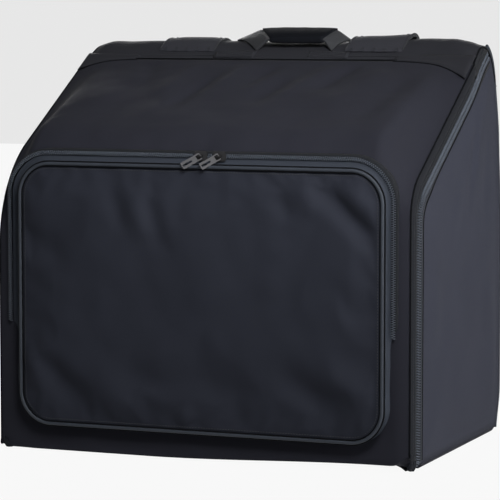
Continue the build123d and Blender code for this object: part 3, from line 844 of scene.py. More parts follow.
side_columns = 51
for sign, side in ((-1, "left"), (1, "right")):

    def side_place(i, j):
        z = side_heights[j]
        front, back = side_reach(z)
        share = i / (side_columns - 1)
        y = front + (back - front) * share
        rim = min(share * (back - front), (1 - share) * (back - front), z - edge_round + 4 * mm,
                  (side_top - z) + 2 * mm)
        uneven = ripple((y, z, 7 * sign), 0.11, 3.5 * mm) + ripple((y, z, 9), 0.035, 0.8 * mm)
        puff = ease(rim / (60 * mm)) * (3.0 * mm + uneven)
        puff += creases(y, z, side_folds) * ease(rim / (25 * mm))
        return (sign * (half_width - 0.2 * mm + puff + flare(y, z)), y, z)

    wall_skin = cloth_panel(f"{side}_side_skin", side_columns, len(side_heights), side_place)
    thicken(wall_skin, wall)
    finish_piece(wall_skin, side_cloth, "case", (f"{side}_side_panel",), slot="shell")

back_line = Line(((front_y + tape_end, 0), (back_y, 0), (back_y, yoke_foot)), (0, heel_round, 0))
back_columns = edge_columns(60, edge_round + 0.1 * mm)
back_rows = part_rows((30, 8, 44))


def back_place(i, j):
    x, side = back_columns[i]
    k, share = back_rows[j]
    point, way = back_line.on_part(k, share)
    out = Vector((way.y, -way.x))
    lift = 0.0
    if k == 2 and side == 0:
        middle = ease((half_width - abs(x)) / (60 * mm)) * ease(share * 5) * ease((1 - share) * 5)
        lift = middle * ripple((x, point.y, 11), 0.1, 1.5 * mm)
    at = point + out * (lift - side)
    rise = front_rise(x, at.x) * ease(1 - at.y / (20 * mm))
    return (x + leaning(x, *at, 120 * mm, 110 * mm), at.x, max(at.y, 0) + rise)


back_skin = cloth_panel("back_and_bottom_skin", len(back_columns), len(back_rows), back_place)
thicken(back_skin, wall)
finish_piece(back_skin, shell_cloth, "case", ("back_panel", "bottom_panel"), slot="shell")

# ---------------------------------------------------------------- linings and board

lining_line = Line(
    ((front_y + tape_end, lining_inset), (back_y - lining_inset, lining_inset),
     (back_y - lining_inset, peak_z - lining_inset * (tan(slope) + 1 / cos(slope))),
     (seam_y + lining_inset * sin(slope), seam_z - lining_inset * cos(slope))),
    (0, 4 * mm, top_radius - lining_inset, 0),
)
lining_xs, lining_steps = spread(lining_edge, -lining_edge, 12), spread(0, lining_line.length, 60)


def case_lining_place(i, j):
    point, way = lining_line.at(lining_steps[j])
    return (lining_xs[i], point.x, point.y)


linings = [cloth_panel("case_lining_skin", len(lining_xs), len(lining_steps), case_lining_place)]
thicken(linings[0], 1.0 * mm)
lining_columns, lining_heights = 21, side_heights[::3]
for sign in (-1, 1):

    def side_lining_place(i, j):
        z = lining_heights[j]
        front, back = side_reach(z)
        back = min(back, back_y - lining_inset)
        y = front + (back - front) * i / (lining_columns - 1)
        return (sign * lining_edge, y, max(z, lining_inset))

    linings.append(cloth_panel("side_lining", lining_columns, len(lining_heights), side_lining_place))
    thicken(linings[-1], 1.0 * mm)
case_lining = join("case_lining_skin", linings)
finish_piece(case_lining, lining_cloth, "case", ("case_lining",), slot="lining")
only_material(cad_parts["base_board"], board_finish)

# ---------------------------------------------------------------- main zip


zip_slope_z = peak_z - zip_inset / cos(slope)  # where the slanting run would meet the back
zip_exit = 31 * mm  # its end inside the back
zip_floor = 1.9 * mm  # height of its middle on the underside
zip_line = Line(
    ((back_y - zip_exit, zip_slope_z - zip_exit * tan(slope)),
     (front_y + zip_inset, front_height + zip_inset * tan(slope) - zip_inset / cos(slope)),
     (front_y + zip_inset, lid_lift + zip_corner)),
    (0, side_knee - zip_inset, 0),
)


def seam_distance(line):
    """Distance along a line, from the back, at which it passes the hinge seam."""
    for distance in spread(0, line.length, 4000):
        point, way = line.at(distance)
        along = (point.x - seam_y) * cos(slope) + (point.y - seam_z) * sin(slope)
        if point.x < seam_y + 50 * mm and along <= 0:
            return distance


zip_seam = seam_distance(zip_line)


def mirrored(stations):
    """The same stations on the other side, in the order that carries the line on."""
    flip = Vector((-1, 1, 1))
    return [(p * flip, -(way * flip), over * flip, out * flip) for p, way, over, out in stations[::-1]]


def side_stations(start, end, step):
    """Stations down the right side face: place, way, towards the lid, and outwards."""
    stations = []
    for distance in spread(start, end, max(2, round((end - start) / step) + 1)):
        point, way = zip_line.at(distance)
        stations.append((Vector((half_width + flare(*point), *point)), Vector((0, *way)),
                         Vector((0, way.y, -way.x)), Vector((1, 0, 0))))
    return stations


def for_belt(stations):
    """The same stations without their way, as a swept band takes them."""
    return [(p, over, out) for p, way, over, out in stations]


def zip_course(step):
    """Stations of the opening zip: down the left side, across the underside and up the right."""
    half = []
    y = front_y + zip_inset
    for x in spread(0, half_width - zip_corner, round((half_width - zip_corner) / step) + 1)[:-1]:
        half.append((Vector((x, y, zip_floor + front_rise(x, y))), Vector((1, 0, 0)),
                     Vector((0, -1, 0)), Vector((0, 0, -1))))
    for turn in spread(0, pi / 2, max(3, round(zip_corner * pi / 2 / step) + 1))[:-1]:
        out = Vector((sin(turn), 0, -cos(turn)))
        centre = Vector((half_width - zip_corner, y, zip_floor + zip_corner))
        half.append((centre + out * zip_corner, Vector((cos(turn), 0, sin(turn))), Vector((0, -1, 0)), out))
    up = side_stations(zip_seam, zip_line.length, step)[::-1]
    half += [(p, -way, over, out) for p, way, over, out in up]
    return mirrored(half)[:-1] + half


def tape_band(name, stations, near, far, thickness=1.0 * mm, sink=0.8 * mm):
    """Flat tape beside the zip's middle, between two insets from the lid's edge."""
    offset = zip_inset - (near + far) / 2
    section = [(offset + a, o - sink) for a, o in round_section(far - near, thickness, thickness * 0.4, 2)]
    return belt(name, for_belt(stations), section)


tooth_long, tooth_wide, tooth_thick = 1.35 * mm, 4.0 * mm, 3.4 * mm


def one_tooth():
    """A moulded tooth: a rounded bar, thicker at its head."""
    bpy.ops.mesh.primitive_cube_add(size=1)
    tooth = new_piece("tooth")
    for vertex in tooth.data.vertices:
        x, y, z = vertex.co
        head = 1.0 if y > 0 else 0.75
        vertex.co = Vector((x * tooth_long * head, y * tooth_wide, z * tooth_thick))
    apply_modifier(tooth, "BEVEL", width=0.45 * mm, segments=1)
    return tooth


def teeth(stations, offset, shift):
    """Stations for teeth beside the zip's middle line."""
    side = 1 if offset < 0 else -1
    return [(p + over * offset + way * shift, way * side, over * side, out)
            for p, way, over, out in stations]


row_offset = 3.15 * mm
zip_places = zip_course(tooth_pitch)
for side, body in ((1, "lid"), (-1, "case")):
    row = teeth(zip_places, side * row_offset, side * tooth_pitch / 4)
    finish_piece(copies(f"{body}_zip_teeth", one_tooth, row), teeth_finish, body, (f"{body}_zip_row",),
                 slot="zip_teeth")
closed = side_stations(2 * mm, zip_seam - 1 * mm, tooth_pitch)
closed += mirrored(closed)
corner_teeth = teeth(closed, row_offset, tooth_pitch / 4) + teeth(closed, -row_offset, -tooth_pitch / 4)
finish_piece(copies("corner_zip_teeth", one_tooth, corner_teeth), teeth_finish, "case",
             ("left_corner_zip", "right_corner_zip"), slot="zip_teeth")

tape_places = zip_course(5 * mm)
tape_inside = 0.5 * mm  # gap between the tapes' edges, under the teeth
finish_piece(tape_band("lid_zip_tape_cloth", tape_places, tape_start - 1 * mm, zip_inset - tape_inside),
             dark_tape, "lid", ("lid_zip_tape",), slot="zip_tape")


# Where each line along a strip lies: its share of the width, and its height in mm.
strip_section = ((0, -1.0), (0.02, 0), (0.5, 0.1), (0.98, 0), (1, -1.0))


def corner_strip(name, near, far, stand):
    """Strip beside the closed end of the zip, cut off where the case's round top corner begins."""
    strips = []
    stations = side_stations(0, zip_seam, 4 * mm)
    for sign in (1, -1):

        def strip_place(i, j):
            p, way, over, out = stations[j]
            drop = (peak_z - (back_y - p.y) * tan(slope) - yoke_top(p.y)) * cos(slope)
            edge = max(near, drop + 2.5 * mm)
            share, height = strip_section[i]
            inward = zip_inset - edge - max(far - edge, 1 * mm) * share
            at = p + over * inward + out * (stand + height * mm)
            return (sign * at.x, at.y, at.z)

        strips.append(cloth_panel(name, len(strip_section), len(stations), strip_place, (0, 0.1, 0.4)))
    return strips


def yoke_top(y):
    """Height of the yoke's face."""
    arc_y = back_y - top_radius
    if y < arc_y - top_radius * sin(slope):
        return seam_z + (y - seam_y) * tan(slope)
    return yoke_foot + (top_radius**2 - min(y - arc_y, top_radius) ** 2) ** 0.5


case_tape = [tape_band("case_tape", tape_places, zip_inset + tape_inside, tape_end + 1 * mm)]
case_tape += corner_strip("corner_tape", zip_inset, tape_end + 1 * mm, 0.4 * mm)
finish_piece(join("case_zip_tape_cloth", case_tape), dark_tape, "case", ("case_zip_tape",), slot="zip_tape")
corner_tape = corner_strip("corner_dark_tape", tape_start - 3 * mm, zip_inset, 0.45 * mm)
finish_piece(join("corner_dark_tape", corner_tape), dark_tape, "case", slot="zip_tape")


fold_inset = tape_end - 2.6 * mm  # middle of the fold beside the case's teeth


def drawn_in(p, way, over, out):
    """A station of that fold: nearer to the teeth and narrower on the slope."""
    share = seam_pull(p.z) / full_pull
    return p - over * 0.2 * share * (fold_inset - zip_inset), way, over * (1 - 0.6 * share), out


def tape_fold(name, stations, middle, half):
    """The edge of the cloth, folded over a tape."""
    return tape_band(name, stations, middle - half, middle + half, 1.6 * mm, -0.1 * mm)


lid_fold = tape_fold("lid_tape_fold", tape_places, tape_start - 0.5 * mm, 1.4 * mm)
# The lid's folded edge takes the darker band colour: painted shade beside the zip.
finish_piece(join("lid_tape_fold", [lid_fold]), band_shade_cloth, "lid", slot="shell")
drawn_places = [drawn_in(*station) for station in tape_places]
case_fold = [tape_fold("case_tape_fold", drawn_places, fold_inset, 2.2 * mm)]
case_fold += corner_strip("corner_fold", 34.4 * mm, 36.2 * mm, 1.0 * mm)
finish_piece(join("case_tape_fold", case_fold), tape_cloth, "case", slot="shell")

# Black cords lie in the seams as painted shade of their folds: along the edge of the front, along the yoke,
# and between tape and side.
lid_edge, yoke_edge, side_edge = [], [], []
edge_inside, edge_behind = 0.3 * mm, 3.6 * mm
edge_section = circle_section(1.1 * mm, 8)
side_section = [(zip_inset - tape_end - 1.6 * mm + a, o + 0.3 * mm)
                for a, o in round_section(2.6 * mm, 1.4 * mm, 0.5 * mm, 2)]
for sign in (-1, 1):
    line = lid_line(0, radius=slack_knee if sign < 0 else tight_knee)
    rows = []
    for distance in spread(0.5 * mm, line.length - 12 * mm, 150):
        point, way = line.at(distance)
        at = point - Vector((way.y, -way.x)) * edge_behind
        x = sign * (half_width - edge_inside)
        rows.append((Vector((x, at.x, at.y + raised(x, *at))), Vector((0, way.y, -way.x)),
                     Vector((sign, 0, 0))))
    lid_edge.append(belt("edge", rows, edge_section))
    rows = []
    for distance in spread(0.5 * mm, yoke_line.length - 4 * mm, 60):
        point, way = yoke_line.at(distance)
        at = point + Vector((way.y, -way.x)) * (edge_behind - yoke_lift(half_width, *point))
        x = sign * (half_width - edge_inside + flare(*at))
        rows.append((Vector((x, *at)), Vector((0, -way.y, way.x)), Vector((sign, 0, 0))))
    yoke_edge.append(belt("edge", rows, edge_section))
    rows = [(p + over * seam_pull(p.z), way, over, out)
            for p, way, over, out in side_stations(0, zip_line.length, 4 * mm)]
    side_edge.append(belt("edge", for_belt(rows if sign > 0 else mirrored(rows)), side_section))
finish_piece(join("lid_edge_shade_cord", lid_edge), seam_shade_cord, "lid", slot="piping")
finish_piece(join("yoke_edge_shade_cord", yoke_edge), seam_shade_cord, "case", slot="piping")
finish_piece(join("side_seam_shade_cord", side_edge), seam_shade_cord, "case", slot="piping")

# ---------------------------------------------------------------- pocket


face_half_width = 214.5 * mm
face_half_height = 146 * mm
face_round = 36 * mm
face_shift = Vector((5.0 * mm, -2.0 * mm))  # the loaded face hangs a little to the right of its zip


def round_rectangle(w, h, r, centre=Vector((0, 0))):
    """A rounded rectangle from its bottom middle clockwise, seen from the front."""
    corners = ((0, -h), (-w, -h), (-w, h), (w, h), (w, -h), (0, -h))
    return Line([Vector(c) + centre for c in corners], (0, r, r, r, r, 0))


def face_line(grow):
    """Outline of the pocket's face, grown on every side."""
    return round_rectangle(face_half_width + grow, face_half_height + grow, face_round + grow, face_shift)


def stations_round(line, step, stand, start=0.0, end=None):
    """Stations round a line on the front: point, way, outwards from the pocket, forwards."""
    end = line.length if end is None else end
    stations = []
    for distance in spread(start, end, round((end - start) / step) + 1):
        point, way = line.at(distance)
        stations.append((Vector((point.x, front_y - stand, pocket_middle + point.y)),
                         Vector((way.x, 0, way.y)), Vector((-way.y, 0, way.x)), Vector((0, -1, 0))))
    return stations


def rise_distance(z):
    """Distance along the pocket's zip line from the bottom middle to a height on the left run."""
    corner = pocket_half_width - pocket_round + pocket_round * pi / 2
    return corner + (z - pocket_middle + pocket_half_height - pocket_round)


pocket_line = round_rectangle(pocket_half_width, pocket_half_height, pocket_round)
zip_start = rise_distance(flap_height)
pocket_pitch = 2.5 * mm
pocket_zip_stand = 4.2 * mm


def one_small_tooth():
    """A tooth of the pocket's finer zip."""
    tooth = one_tooth()
    for vertex in tooth.data.vertices:
        vertex.co = Vector((vertex.co.x * 0.82, vertex.co.y * 0.62, vertex.co.z * 0.66))
    return tooth


pocket_row_offset = 1.1 * mm
zip_run = stations_round(pocket_line, pocket_pitch, pocket_zip_stand, zip_start + 2 * mm,
                         pocket_line.length - zip_start - 2 * mm)
for side, row_name, body in ((1, "outer", "lid"), (-1, "inner", "pocket_flap")):
    row = teeth(zip_run, side * pocket_row_offset, side * pocket_pitch / 4)
    finish_piece(copies(f"pocket_{row_name}_teeth", one_small_tooth, row), teeth_finish, body,
                 (f"pocket_{row_name}_row",), slot="zip_teeth")

hem_section = (
    # how far out from the zip's line, and in front of the front wall
    (5.4 * mm, -26 * mm), (4.6 * mm, -1.5 * mm), (4.0 * mm, 1.0 * mm), (2.8 * mm, 2.2 * mm),
    (0.6 * mm, 2.9 * mm), (0.4 * mm, 2.0 * mm), (2.0 * mm, 1.4 * mm),
)
hem_start = rise_distance(flap_height - 6 * mm)
hem_run = stations_round(pocket_line, 5 * mm, 0.0, hem_start, pocket_line.length - hem_start)


def hem_place(i, j):
    """The tape outside the teeth: it slants back to the lid, and sinks in at its two ends."""
    p, way, over, out = hem_run[j]
    grow, stand = hem_section[i]
    ends = min(j, len(hem_run) - 1 - j) / 6
    sink = (1 - ease(ends)) * 5.0 * mm
    return p + over * grow + out * (stand - sink)


hem = cloth_panel("pocket_hem", len(hem_section), len(hem_run), hem_place,
                  (0, front_y + 40 * mm, pocket_middle))
thicken(hem, 0.8 * mm)
# The tape round the pocket's zip is black, and that black also stands in for the shade beside the teeth:
# painted shade.
finish_piece(hem, dark_tape, "lid", ("pocket_zip_tape",), slot="zip_tape")


def lower_share(z):
    """1 below the ends of the pocket's zip, 0 above."""
    return 1 - ease((z - (flap_height - 12 * mm)) / (24 * mm))


gusset_section = (
    # share of the way to the piping, and how far the cloth stands out of the straight line, in mm
    (0.0, 0.0), (0.10, 1.3), (0.26, 2.4), (0.45, 2.8), (0.62, 2.3),
    (0.76, 0.9), (0.84, -0.6), (0.92, -0.4), (1.0, 0.0),
)
gusset_lines = pocket_line, face_line(0)
gusset_rows = part_rows([max(3, round(length / (4 * mm))) for length in pocket_line.lengths])


def gusset_place(i, j):
    """The pocket's side, from beside its zip forwards and inwards to its piping."""
    share, belly = gusset_section[i]
    k, part_share = gusset_rows[j]
    (zip_point, zip_way), (face_point, _) = (line.on_part(k, part_share) for line in gusset_lines)
    over = Vector((-zip_way.y, 0, zip_way.x))
    p = Vector((zip_point.x, front_y, pocket_middle + zip_point.y))
    low = lower_share(p.z)
    inward, forward = 2.6 * mm - 1.6 * mm * low, 3.0 * mm - 6.0 * mm * low
    base = p - over * inward + Vector((0, -forward, 0))
    rim = Vector((face_point.x, front_y - 13.6 * mm, pocket_middle + face_point.y)) + over * 0.8 * mm
    across = rim - base
    square = across.normalized().cross(Vector((zip_way.x, 0, zip_way.y)))
    swell = belly * mm + sin(pi * share) * ripple((p.x, p.z, 2), 0.03, 0.9 * mm)
    return base + across * share - square * swell


pocket_side = cloth_panel("pocket_gusset_skin", len(gusset_section), len(gusset_rows), gusset_place,
                          (0, front_y + 20 * mm, pocket_middle), close_across=True)
thicken(pocket_side, 1.2 * mm)
apply_modifier(pocket_side, "SUBSURF", levels=1, render_levels=1)
# Lighter cloth on the slanting gusset: painted light.
finish_piece(pocket_side, gusset_painted_light_cloth, None, ("pocket_gusset", "pocket_lower_gusset"), slot="pocket")


def cord_round_face(name, beside, stand, radius, count):
    """A closed cord round the pocket's face."""
    stations = for_belt(stations_round(face_line(beside), 4 * mm, stand))
    return belt(name, stations[:-1], circle_section(radius, count), close=True)


piping = cord_round_face("pocket_piping_cord", 0, piping_stand, piping_radius, 14)
finish_piece(piping, piping_cloth, None, ("pocket_piping", "pocket_lower_piping"), slot="piping")
# Black cords on both sides of the piping: painted shade of its seams.
pocket_seams = join("pocket_seam_shade_cord", [
    cord_round_face("seam", -2.4 * mm, piping_stand - 0.3 * mm, 1.0 * mm, 8),
    cord_round_face("seam", 2.3 * mm, piping_stand - 1.2 * mm, 1.1 * mm, 8),
])
finish_piece(pocket_seams, seam_shade_cord, None, slot="piping")

face_folds = (
    # start, end, width and height of each fold on the pocket's face: (x, z)
    ((-0.215, 0.255), (-0.160, 0.225), 0.016, -2.4 * mm),
    ((-0.185, 0.290), (-0.200, 0.240), 0.022, 2.0 * mm),
    ((-0.100, 0.300), (-0.085, 0.255), 0.010, -1.6 * mm),
    ((-0.075, 0.300), (-0.060, 0.250), 0.013, 1.6 * mm),
    ((-0.055, 0.290), (-0.040, 0.235), 0.010, -1.4 * mm),
    ((0.095, 0.300), (0.110, 0.275), 0.010, -1.6 * mm),
    ((0.120, 0.310), (0.140, 0.280), 0.012, 1.4 * mm),
    ((0.150, 0.305), (0.205, 0.250), 0.011, -3.9 * mm),
    ((0.170, 0.310), (0.215, 0.275), 0.014, 1.8 * mm),
    ((0.205, 0.190), (0.175, 0.170), 0.014, -1.2 * mm),
    ((-0.190, 0.105), (-0.130, 0.055), 0.017, -3.4 * mm),
    ((-0.215, 0.120), (-0.180, 0.075), 0.015, 2.0 * mm),
    ((-0.120, 0.100), (-0.080, 0.050), 0.020, 1.6 * mm),
    ((0.100, 0.105), (0.170, 0.060), 0.017, -3.2 * mm),
    ((0.150, 0.110), (0.205, 0.080), 0.016, 1.8 * mm),
    ((-0.080, 0.090), (0.070, 0.082), 0.018, -1.4 * mm),
    ((-0.020, 0.060), (-0.010, 0.045), 0.012, 1.2 * mm),
    ((0.040, 0.070), (0.055, 0.048), 0.012, -1.2 * mm),
)

face_fold_depth = 2.1  # the heights of the folds above are taken this many times
face_columns, face_rows = 120, 96


def face_height(j):
    """Rows are closer together in the round corners."""
    share = 2 * j / (face_rows - 1) - 1
    return sign_of(share) * face_half_height * sin(abs(share) * pi / 2) ** 0.9


def face_reach(z):
    """Half the face's width at a height from its middle."""
    beyond = max(abs(z) - (face_half_height - face_round), 0)
    return face_half_width - face_round + (face_round**2 - min(beyond, face_round) ** 2) ** 0.5


def face_stand(x, z):
    """How far the face stands in front of the front wall, at a place from its middle."""
    reach = face_reach(z)
    rim = max(min(reach - abs(x), face_half_height - abs(z)), 0)
    soft = ease(rim / (38 * mm))
    dome = soft * 2.6 * mm + 1.2 * mm * ease(rim / (60 * mm)) * ease((z + 60 * mm) / (120 * mm))
    fold = face_fold_depth * creases(x, z + pocket_middle, face_folds) * ease(rim / (14 * mm))
    uneven = soft * (ripple((x, z, 4), 0.075, 3.2 * mm) + ripple((x, z, 6), 0.028, 1.0 * mm))
    pucker = ease(rim / (5 * mm)) * exp(-rim / (18 * mm)) * ripple((x, z, 8), 0.016, 1.7 * mm)
    edge = 2.2 * mm * ease(rim / (4 * mm)) - 1.0 * mm
    return 12.9 * mm + edge + dome + fold + uneven + pucker


def face_share(i):
    """Columns are closer together at both sides, where the cloth turns into the seam."""
    return (1 - cos(pi * i / (face_columns - 1))) / 2 * 0.4 + 0.6 * i / (face_columns - 1)


def face_place(i, j):
    z = face_height(j)
    reach = face_reach(z)
    x = -reach + 2 * reach * face_share(i)
    return (x + face_shift.x, front_y - face_stand(x, z), z + pocket_middle + face_shift.y)


def in_face_seam(at):
    """Whether a place is in the strip that the seam holds."""
    x, z = at.x - face_shift.x, at.z - pocket_middle - face_shift.y
    return min(face_reach(z) - abs(x), face_half_height - abs(z)) < 7 * mm


face = cloth_panel("pocket_face_skin", face_columns, face_rows, face_place, (0, 0, pocket_middle))
settle(face, in_face_seam, pressure=0.5, slack=0.004, cap=3.5 * mm, stiff=8.0)
thicken(face, 2.0 * mm)
finish_piece(face, pocket_cloth, None, ("pocket_face", "pocket_lower_face"), slot="pocket")

seam_inset = 5.5 * mm
seam_path = [
    Vector((p.x, front_y - face_stand(p.x - face_shift.x, p.z - pocket_middle - face_shift.y), p.z))
    for p, way, over, out in stations_round(face_line(-seam_inset), 3 * mm, 0)
]
face_seam = stitched(seam_path, [(0, -1, 0)] * len(seam_path))
face_seam = copies("pocket_face_stitching", one_stitch, face_seam)
finish_piece(face_seam, stitch_thread, None, slot="pocket")

for piece in (pocket_side, piping, pocket_seams, face, face_seam):
    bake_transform(piece)

# ---------------------------------------------------------------- handle


handle_middle = 6 * mm
handle_front = 80 * mm
web_width, web_thick = 34 * mm, 3.0 * mm


def handle_level(share):
    """Middle height of the loop's top, 0 at its front edge and 1 at its rear edge."""
    return (460.8 + 10.4 * share) * mm


def handle_line(share):
    """The loop at a share of its width."""
    y = handle_front + share * web_width
    low = yoke_top(y) + 1.0 * mm
    high = handle_level(share)
    left_foot, left_level = (-28 - 38 * share) * mm, (-13 - 23 * share) * mm
    right_foot, right_level = (66 + 14 * share) * mm, (57 + 5 * share) * mm
    corners = (left_foot, low), (left_level, high), (right_level, high), (right_foot, low)
    return y, Line(corners, (0, 7 * mm, 7 * mm, 0))


web_shares, web_steps = spread(0, 1, 9), spread(0, 1, 48)
web_lines = [handle_line(share) for share in web_shares]


def web_place(i, j):
    y, line = web_lines[i]
    point, way = line.at(web_steps[j] * line.length)
    leg = 1 - ease(min(web_steps[j], 1 - web_steps[j]) / 0.22)
    curl = leg * 1.2 * mm * sin(pi * web_shares[i])
    return (point.x, y, point.y + curl)


web = cloth_panel("handle_webbing_band", len(web_shares), len(web_steps), web_place,
                  (handle_middle, 0.09, yoke_top(0.09)))
thicken(web, web_thick, 0.0)
apply_modifier(web, "BEVEL", width=0.8 * mm, segments=2, limit_method="ANGLE")
finish_piece(web, belt_cloth, "handle", ("handle_webbing",), slot="webbing")

grip_section = round_section(38 * mm, 8.6 * mm, 3.2 * mm, 4)
grip_section.append(grip_section[0])
grip_rows = 25


def grip_place(i, j):
    """The sleeve round the webbing: wider at its rear edge, a little fuller in the middle."""
    a, o = grip_section[i]
    along = 2 * j / (grip_rows - 1) - 1
    back = a / web_width + 0.5
    share = min(max(back, 0), 1)
    full = 1 - 0.25 * abs(along) ** 6
    middle, half = (22.5 - 9 * share) * mm, (33 + 14.5 * share) * mm
    crease = ripple((along * 0.05, a, 41), 0.012, 0.5 * mm) * sign_of(o)
    y = handle_front + web_width / 2 + a
    return (middle + half * along, y, handle_level(back) + o * full + crease)


grip = cloth_panel("grip_sleeve", len(grip_section), grip_rows, grip_place,
                   (16 * mm, 97 * mm, 467 * mm))
merge_doubles(grip)
cap_ends(grip)
outward(grip)
finish_piece(grip, grip_vinyl, "handle", ("handle_grip",), slot="grip")

# ---------------------------------------------------------------- patches and stitching on the yoke


def on_yoke(x, y, stand):
    """Place on the yoke's cloth, and its outward direction there."""
    arc_y = back_y - top_radius
    if y < arc_y - top_radius * sin(slope):
        out = Vector((0, -sin(slope), cos(slope)))
    else:
        out = Vector((0, y - arc_y, yoke_top(y) - yoke_foot)).normalized()
    at = Vector((x, y, yoke_top(y)))
    return at + out * (yoke_lift(*at) + 0.3 * mm + stand), out


def yoke_stitches(spots, stand, pitch=3.2 * mm):
    """Stitches along places (x, y) on the yoke."""
    places = [on_yoke(x, y, stand) for x, y in spots]
    return stitched([at for at, out in places], [out for at, out in places], pitch)


box_and_cross = ((0, 1), (1, 2), (2, 3), (3, 0), (0, 2), (1, 3))  # corners that each row joins

patch_front = seam_y + 4.0 * mm
patch_rear = seam_y + 15.0 * mm
patch_columns, patch_rows = 17, 9
for sign, side in ((-1, "left"), (1, "right")):
    near, far = handle_middle + sign * 33 * mm, handle_middle + sign * 84 * mm

    def patch_place(i, j):
        share, over = i / (patch_columns - 1), j / (patch_rows - 1)
        x = near + (far - near) * share
        rim = min(i, patch_columns - 1 - i, j, patch_rows - 1 - j)
        flat = 1.2 * mm - 0.6 * mm * (1 - ease(rim / 1.5))
        y = patch_front + (patch_rear + 3 * mm * (1 - share) - patch_front) * over
        return on_yoke(x, y, flat + ripple((x, y, 21), 0.02, 0.3 * mm))[0]

    patch = cloth_panel(f"{side}_handle_patch", patch_columns, patch_rows, patch_place, (0, 0.05, 0.3))
    thicken(patch, 1.2 * mm)
    finish_piece(patch, yoke_cloth, "case", (f"{side}_handle_anchor",), slot="webbing")

    near_x, far_x = near + sign * 3 * mm, far - sign * 3 * mm
    low_y, high_y = patch_front + 1.5 * mm, patch_rear - 1.5 * mm
    corners = (near_x, low_y), (far_x, low_y), (far_x, high_y), (near_x, high_y)
    stitches = []
    for a, b in box_and_cross:
        (ax, ay), (bx, by) = corners[a], corners[b]
        spots = [(ax + (bx - ax) * t, ay + (by - ay) * t) for t in spread(0, 1, 9)]
        stitches += yoke_stitches(spots, 1.3 * mm, 2.8 * mm)
    box_stitch = copies(f"{side}_handle_box_stitch", one_stitch, stitches)
    finish_piece(box_stitch, stitch_thread, "case", slot="webbing")

# Two rows of stitches along the front edge of the yoke, over the seam that the lid swings on.
for name, back in (("yoke_seam_stitching", 2.2 * mm), ("yoke_second_stitching", 8.0 * mm)):
    spots = [(x, seam_y + back) for x in spread(-half_width + 62 * mm, half_width - 86 * mm, 80)]
    seam = copies(name, one_stitch, yoke_stitches(spots, 0.3 * mm))
    finish_piece(seam, stitch_thread, "case", slot="shell")


def lid_spot(x, run, stand):
    """Place on the lid's slope at a distance down from the hinge seam."""
    line = lid_line(fullness(x), radius=knee_at(x))
    point, way = line.on_part(0, min(run / line.lengths[0], 1))
    return Vector((x, point.x, point.y)) + Vector((0, way.y, -way.x)) * stand


# The yoke's cloth runs on over both top corners of the lid, in a curved wing.
wing_edge = half_width - 1.5 * mm
wing_columns, rows_on_yoke, rows_on_lid = 31, 4, 11
for sign, side, reach, drop in ((-1, "left", 70 * mm, 22 * mm), (1, "right", 95 * mm, 34 * mm)):

    def wing_x(i):
        return sign * (wing_edge - reach * (1 - i / (wing_columns - 1)))

    def wing_place(i, j):
        """Rows from the yoke's face over the hinge seam and down the lid."""
        x = wing_x(i)
        rim = 1.3 * mm * ease(i / 3) * ease((wing_columns - 1 - i) / 1.5)
        if j < rows_on_yoke:
            y = seam_y + (rows_on_yoke - j) * 3.5 * mm * cos(slope)
            return on_yoke(x, y, rim * ease(j / 2) - 0.5 * mm * (1 - ease(j / 1.5)))[0]
        depth = 1.5 * mm + drop * max((abs(x) - (wing_edge - reach)) / reach, 0) ** 2.2
        run = depth * (j - rows_on_yoke) / (rows_on_lid - 1)
        if j >= rows_on_yoke + rows_on_lid - 2:  # its lower edge is thinner
            rim *= 0.4
        return lid_spot(x, run, slope_stand(x, run) + rim + 0.2 * mm)

    wing = cloth_panel(f"{side}_yoke_wing", wing_columns, rows_on_yoke + rows_on_lid, wing_place)
    thicken(wing, 1.4 * mm)
    finish_piece(wing, yoke_cloth, None, slot="shell")
    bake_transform(wing)

    # A black cord along the wing's lower edge: painted shade under that edge.
    edge_rows = []
    for i in range(wing_columns):
        at = Vector(wing_place(i, rows_on_yoke + rows_on_lid - 1)) + Vector((0, -0.5 * mm, -0.9 * mm))
        edge_rows.append((at, Vector((0, 0.5, 0.86)), Vector((0, -0.86, 0.5))))
    wing_shade_cord = belt(f"{side}_wing_shade_cord", edge_rows, circle_section(0.9 * mm, 8))
    finish_piece(wing_shade_cord, seam_shade_cord, "lid", slot="piping")

# A dark cord in the seam that the lid swings on, between the two wings: painted shade of that seam.
rows = []
for x in spread(-half_width + 68 * mm, half_width - 92 * mm, 60):
    at, out = on_yoke(x, seam_y + 0.4 * mm, 0.2 * mm)
    rows.append((at, out.cross(Vector((1, 0, 0))), out))
finish_piece(belt("hinge_seam_shade_cord", rows, circle_section(0.9 * mm, 8)), seam_shade_cord, "case", slot="piping")

# The bottom corners of the lid, gathered over the turn of the zip: how far inside the side face
# the middle lies, its radius, and how far behind the front the gather begins.
gather_columns, gather_rows = 13, 11
for sign, side, middle_inset, round_by, begin in (
    (-1, "left", 10 * mm, 8 * mm, -2 * mm),
    (1, "right", 4.5 * mm, 5.0 * mm, 9 * mm),
):

    def gather_place(i, j):
        """A small pouch: round the corner from the side face to the underside, closed at both ends."""
        along = j / (gather_rows - 1)
        turn = -0.35 + (pi / 2 + 0.8) * i / (gather_columns - 1)
        radius = (round_by + 0.7 * mm * sin(5 * pi * along)) * sin(pi * along) ** 0.5 + 0.5 * mm
        x = half_width - middle_inset + radius * cos(turn)
        z = max(9.0 * mm - radius * 1.6 * sin(turn), 0.3 * mm)
        return (sign * x, front_y + begin + 24 * mm * along, z)

    gather = cloth_panel(f"{side}_corner_gather", gather_columns, gather_rows, gather_place,
                         (sign * 0.235, front_y + 13 * mm, 12 * mm))
    thicken(gather, 1.2 * mm)
    # The gather takes the darker band colour: painted shade under the corner.
    finish_piece(gather, band_shade_cloth, "lid", slot="shell")

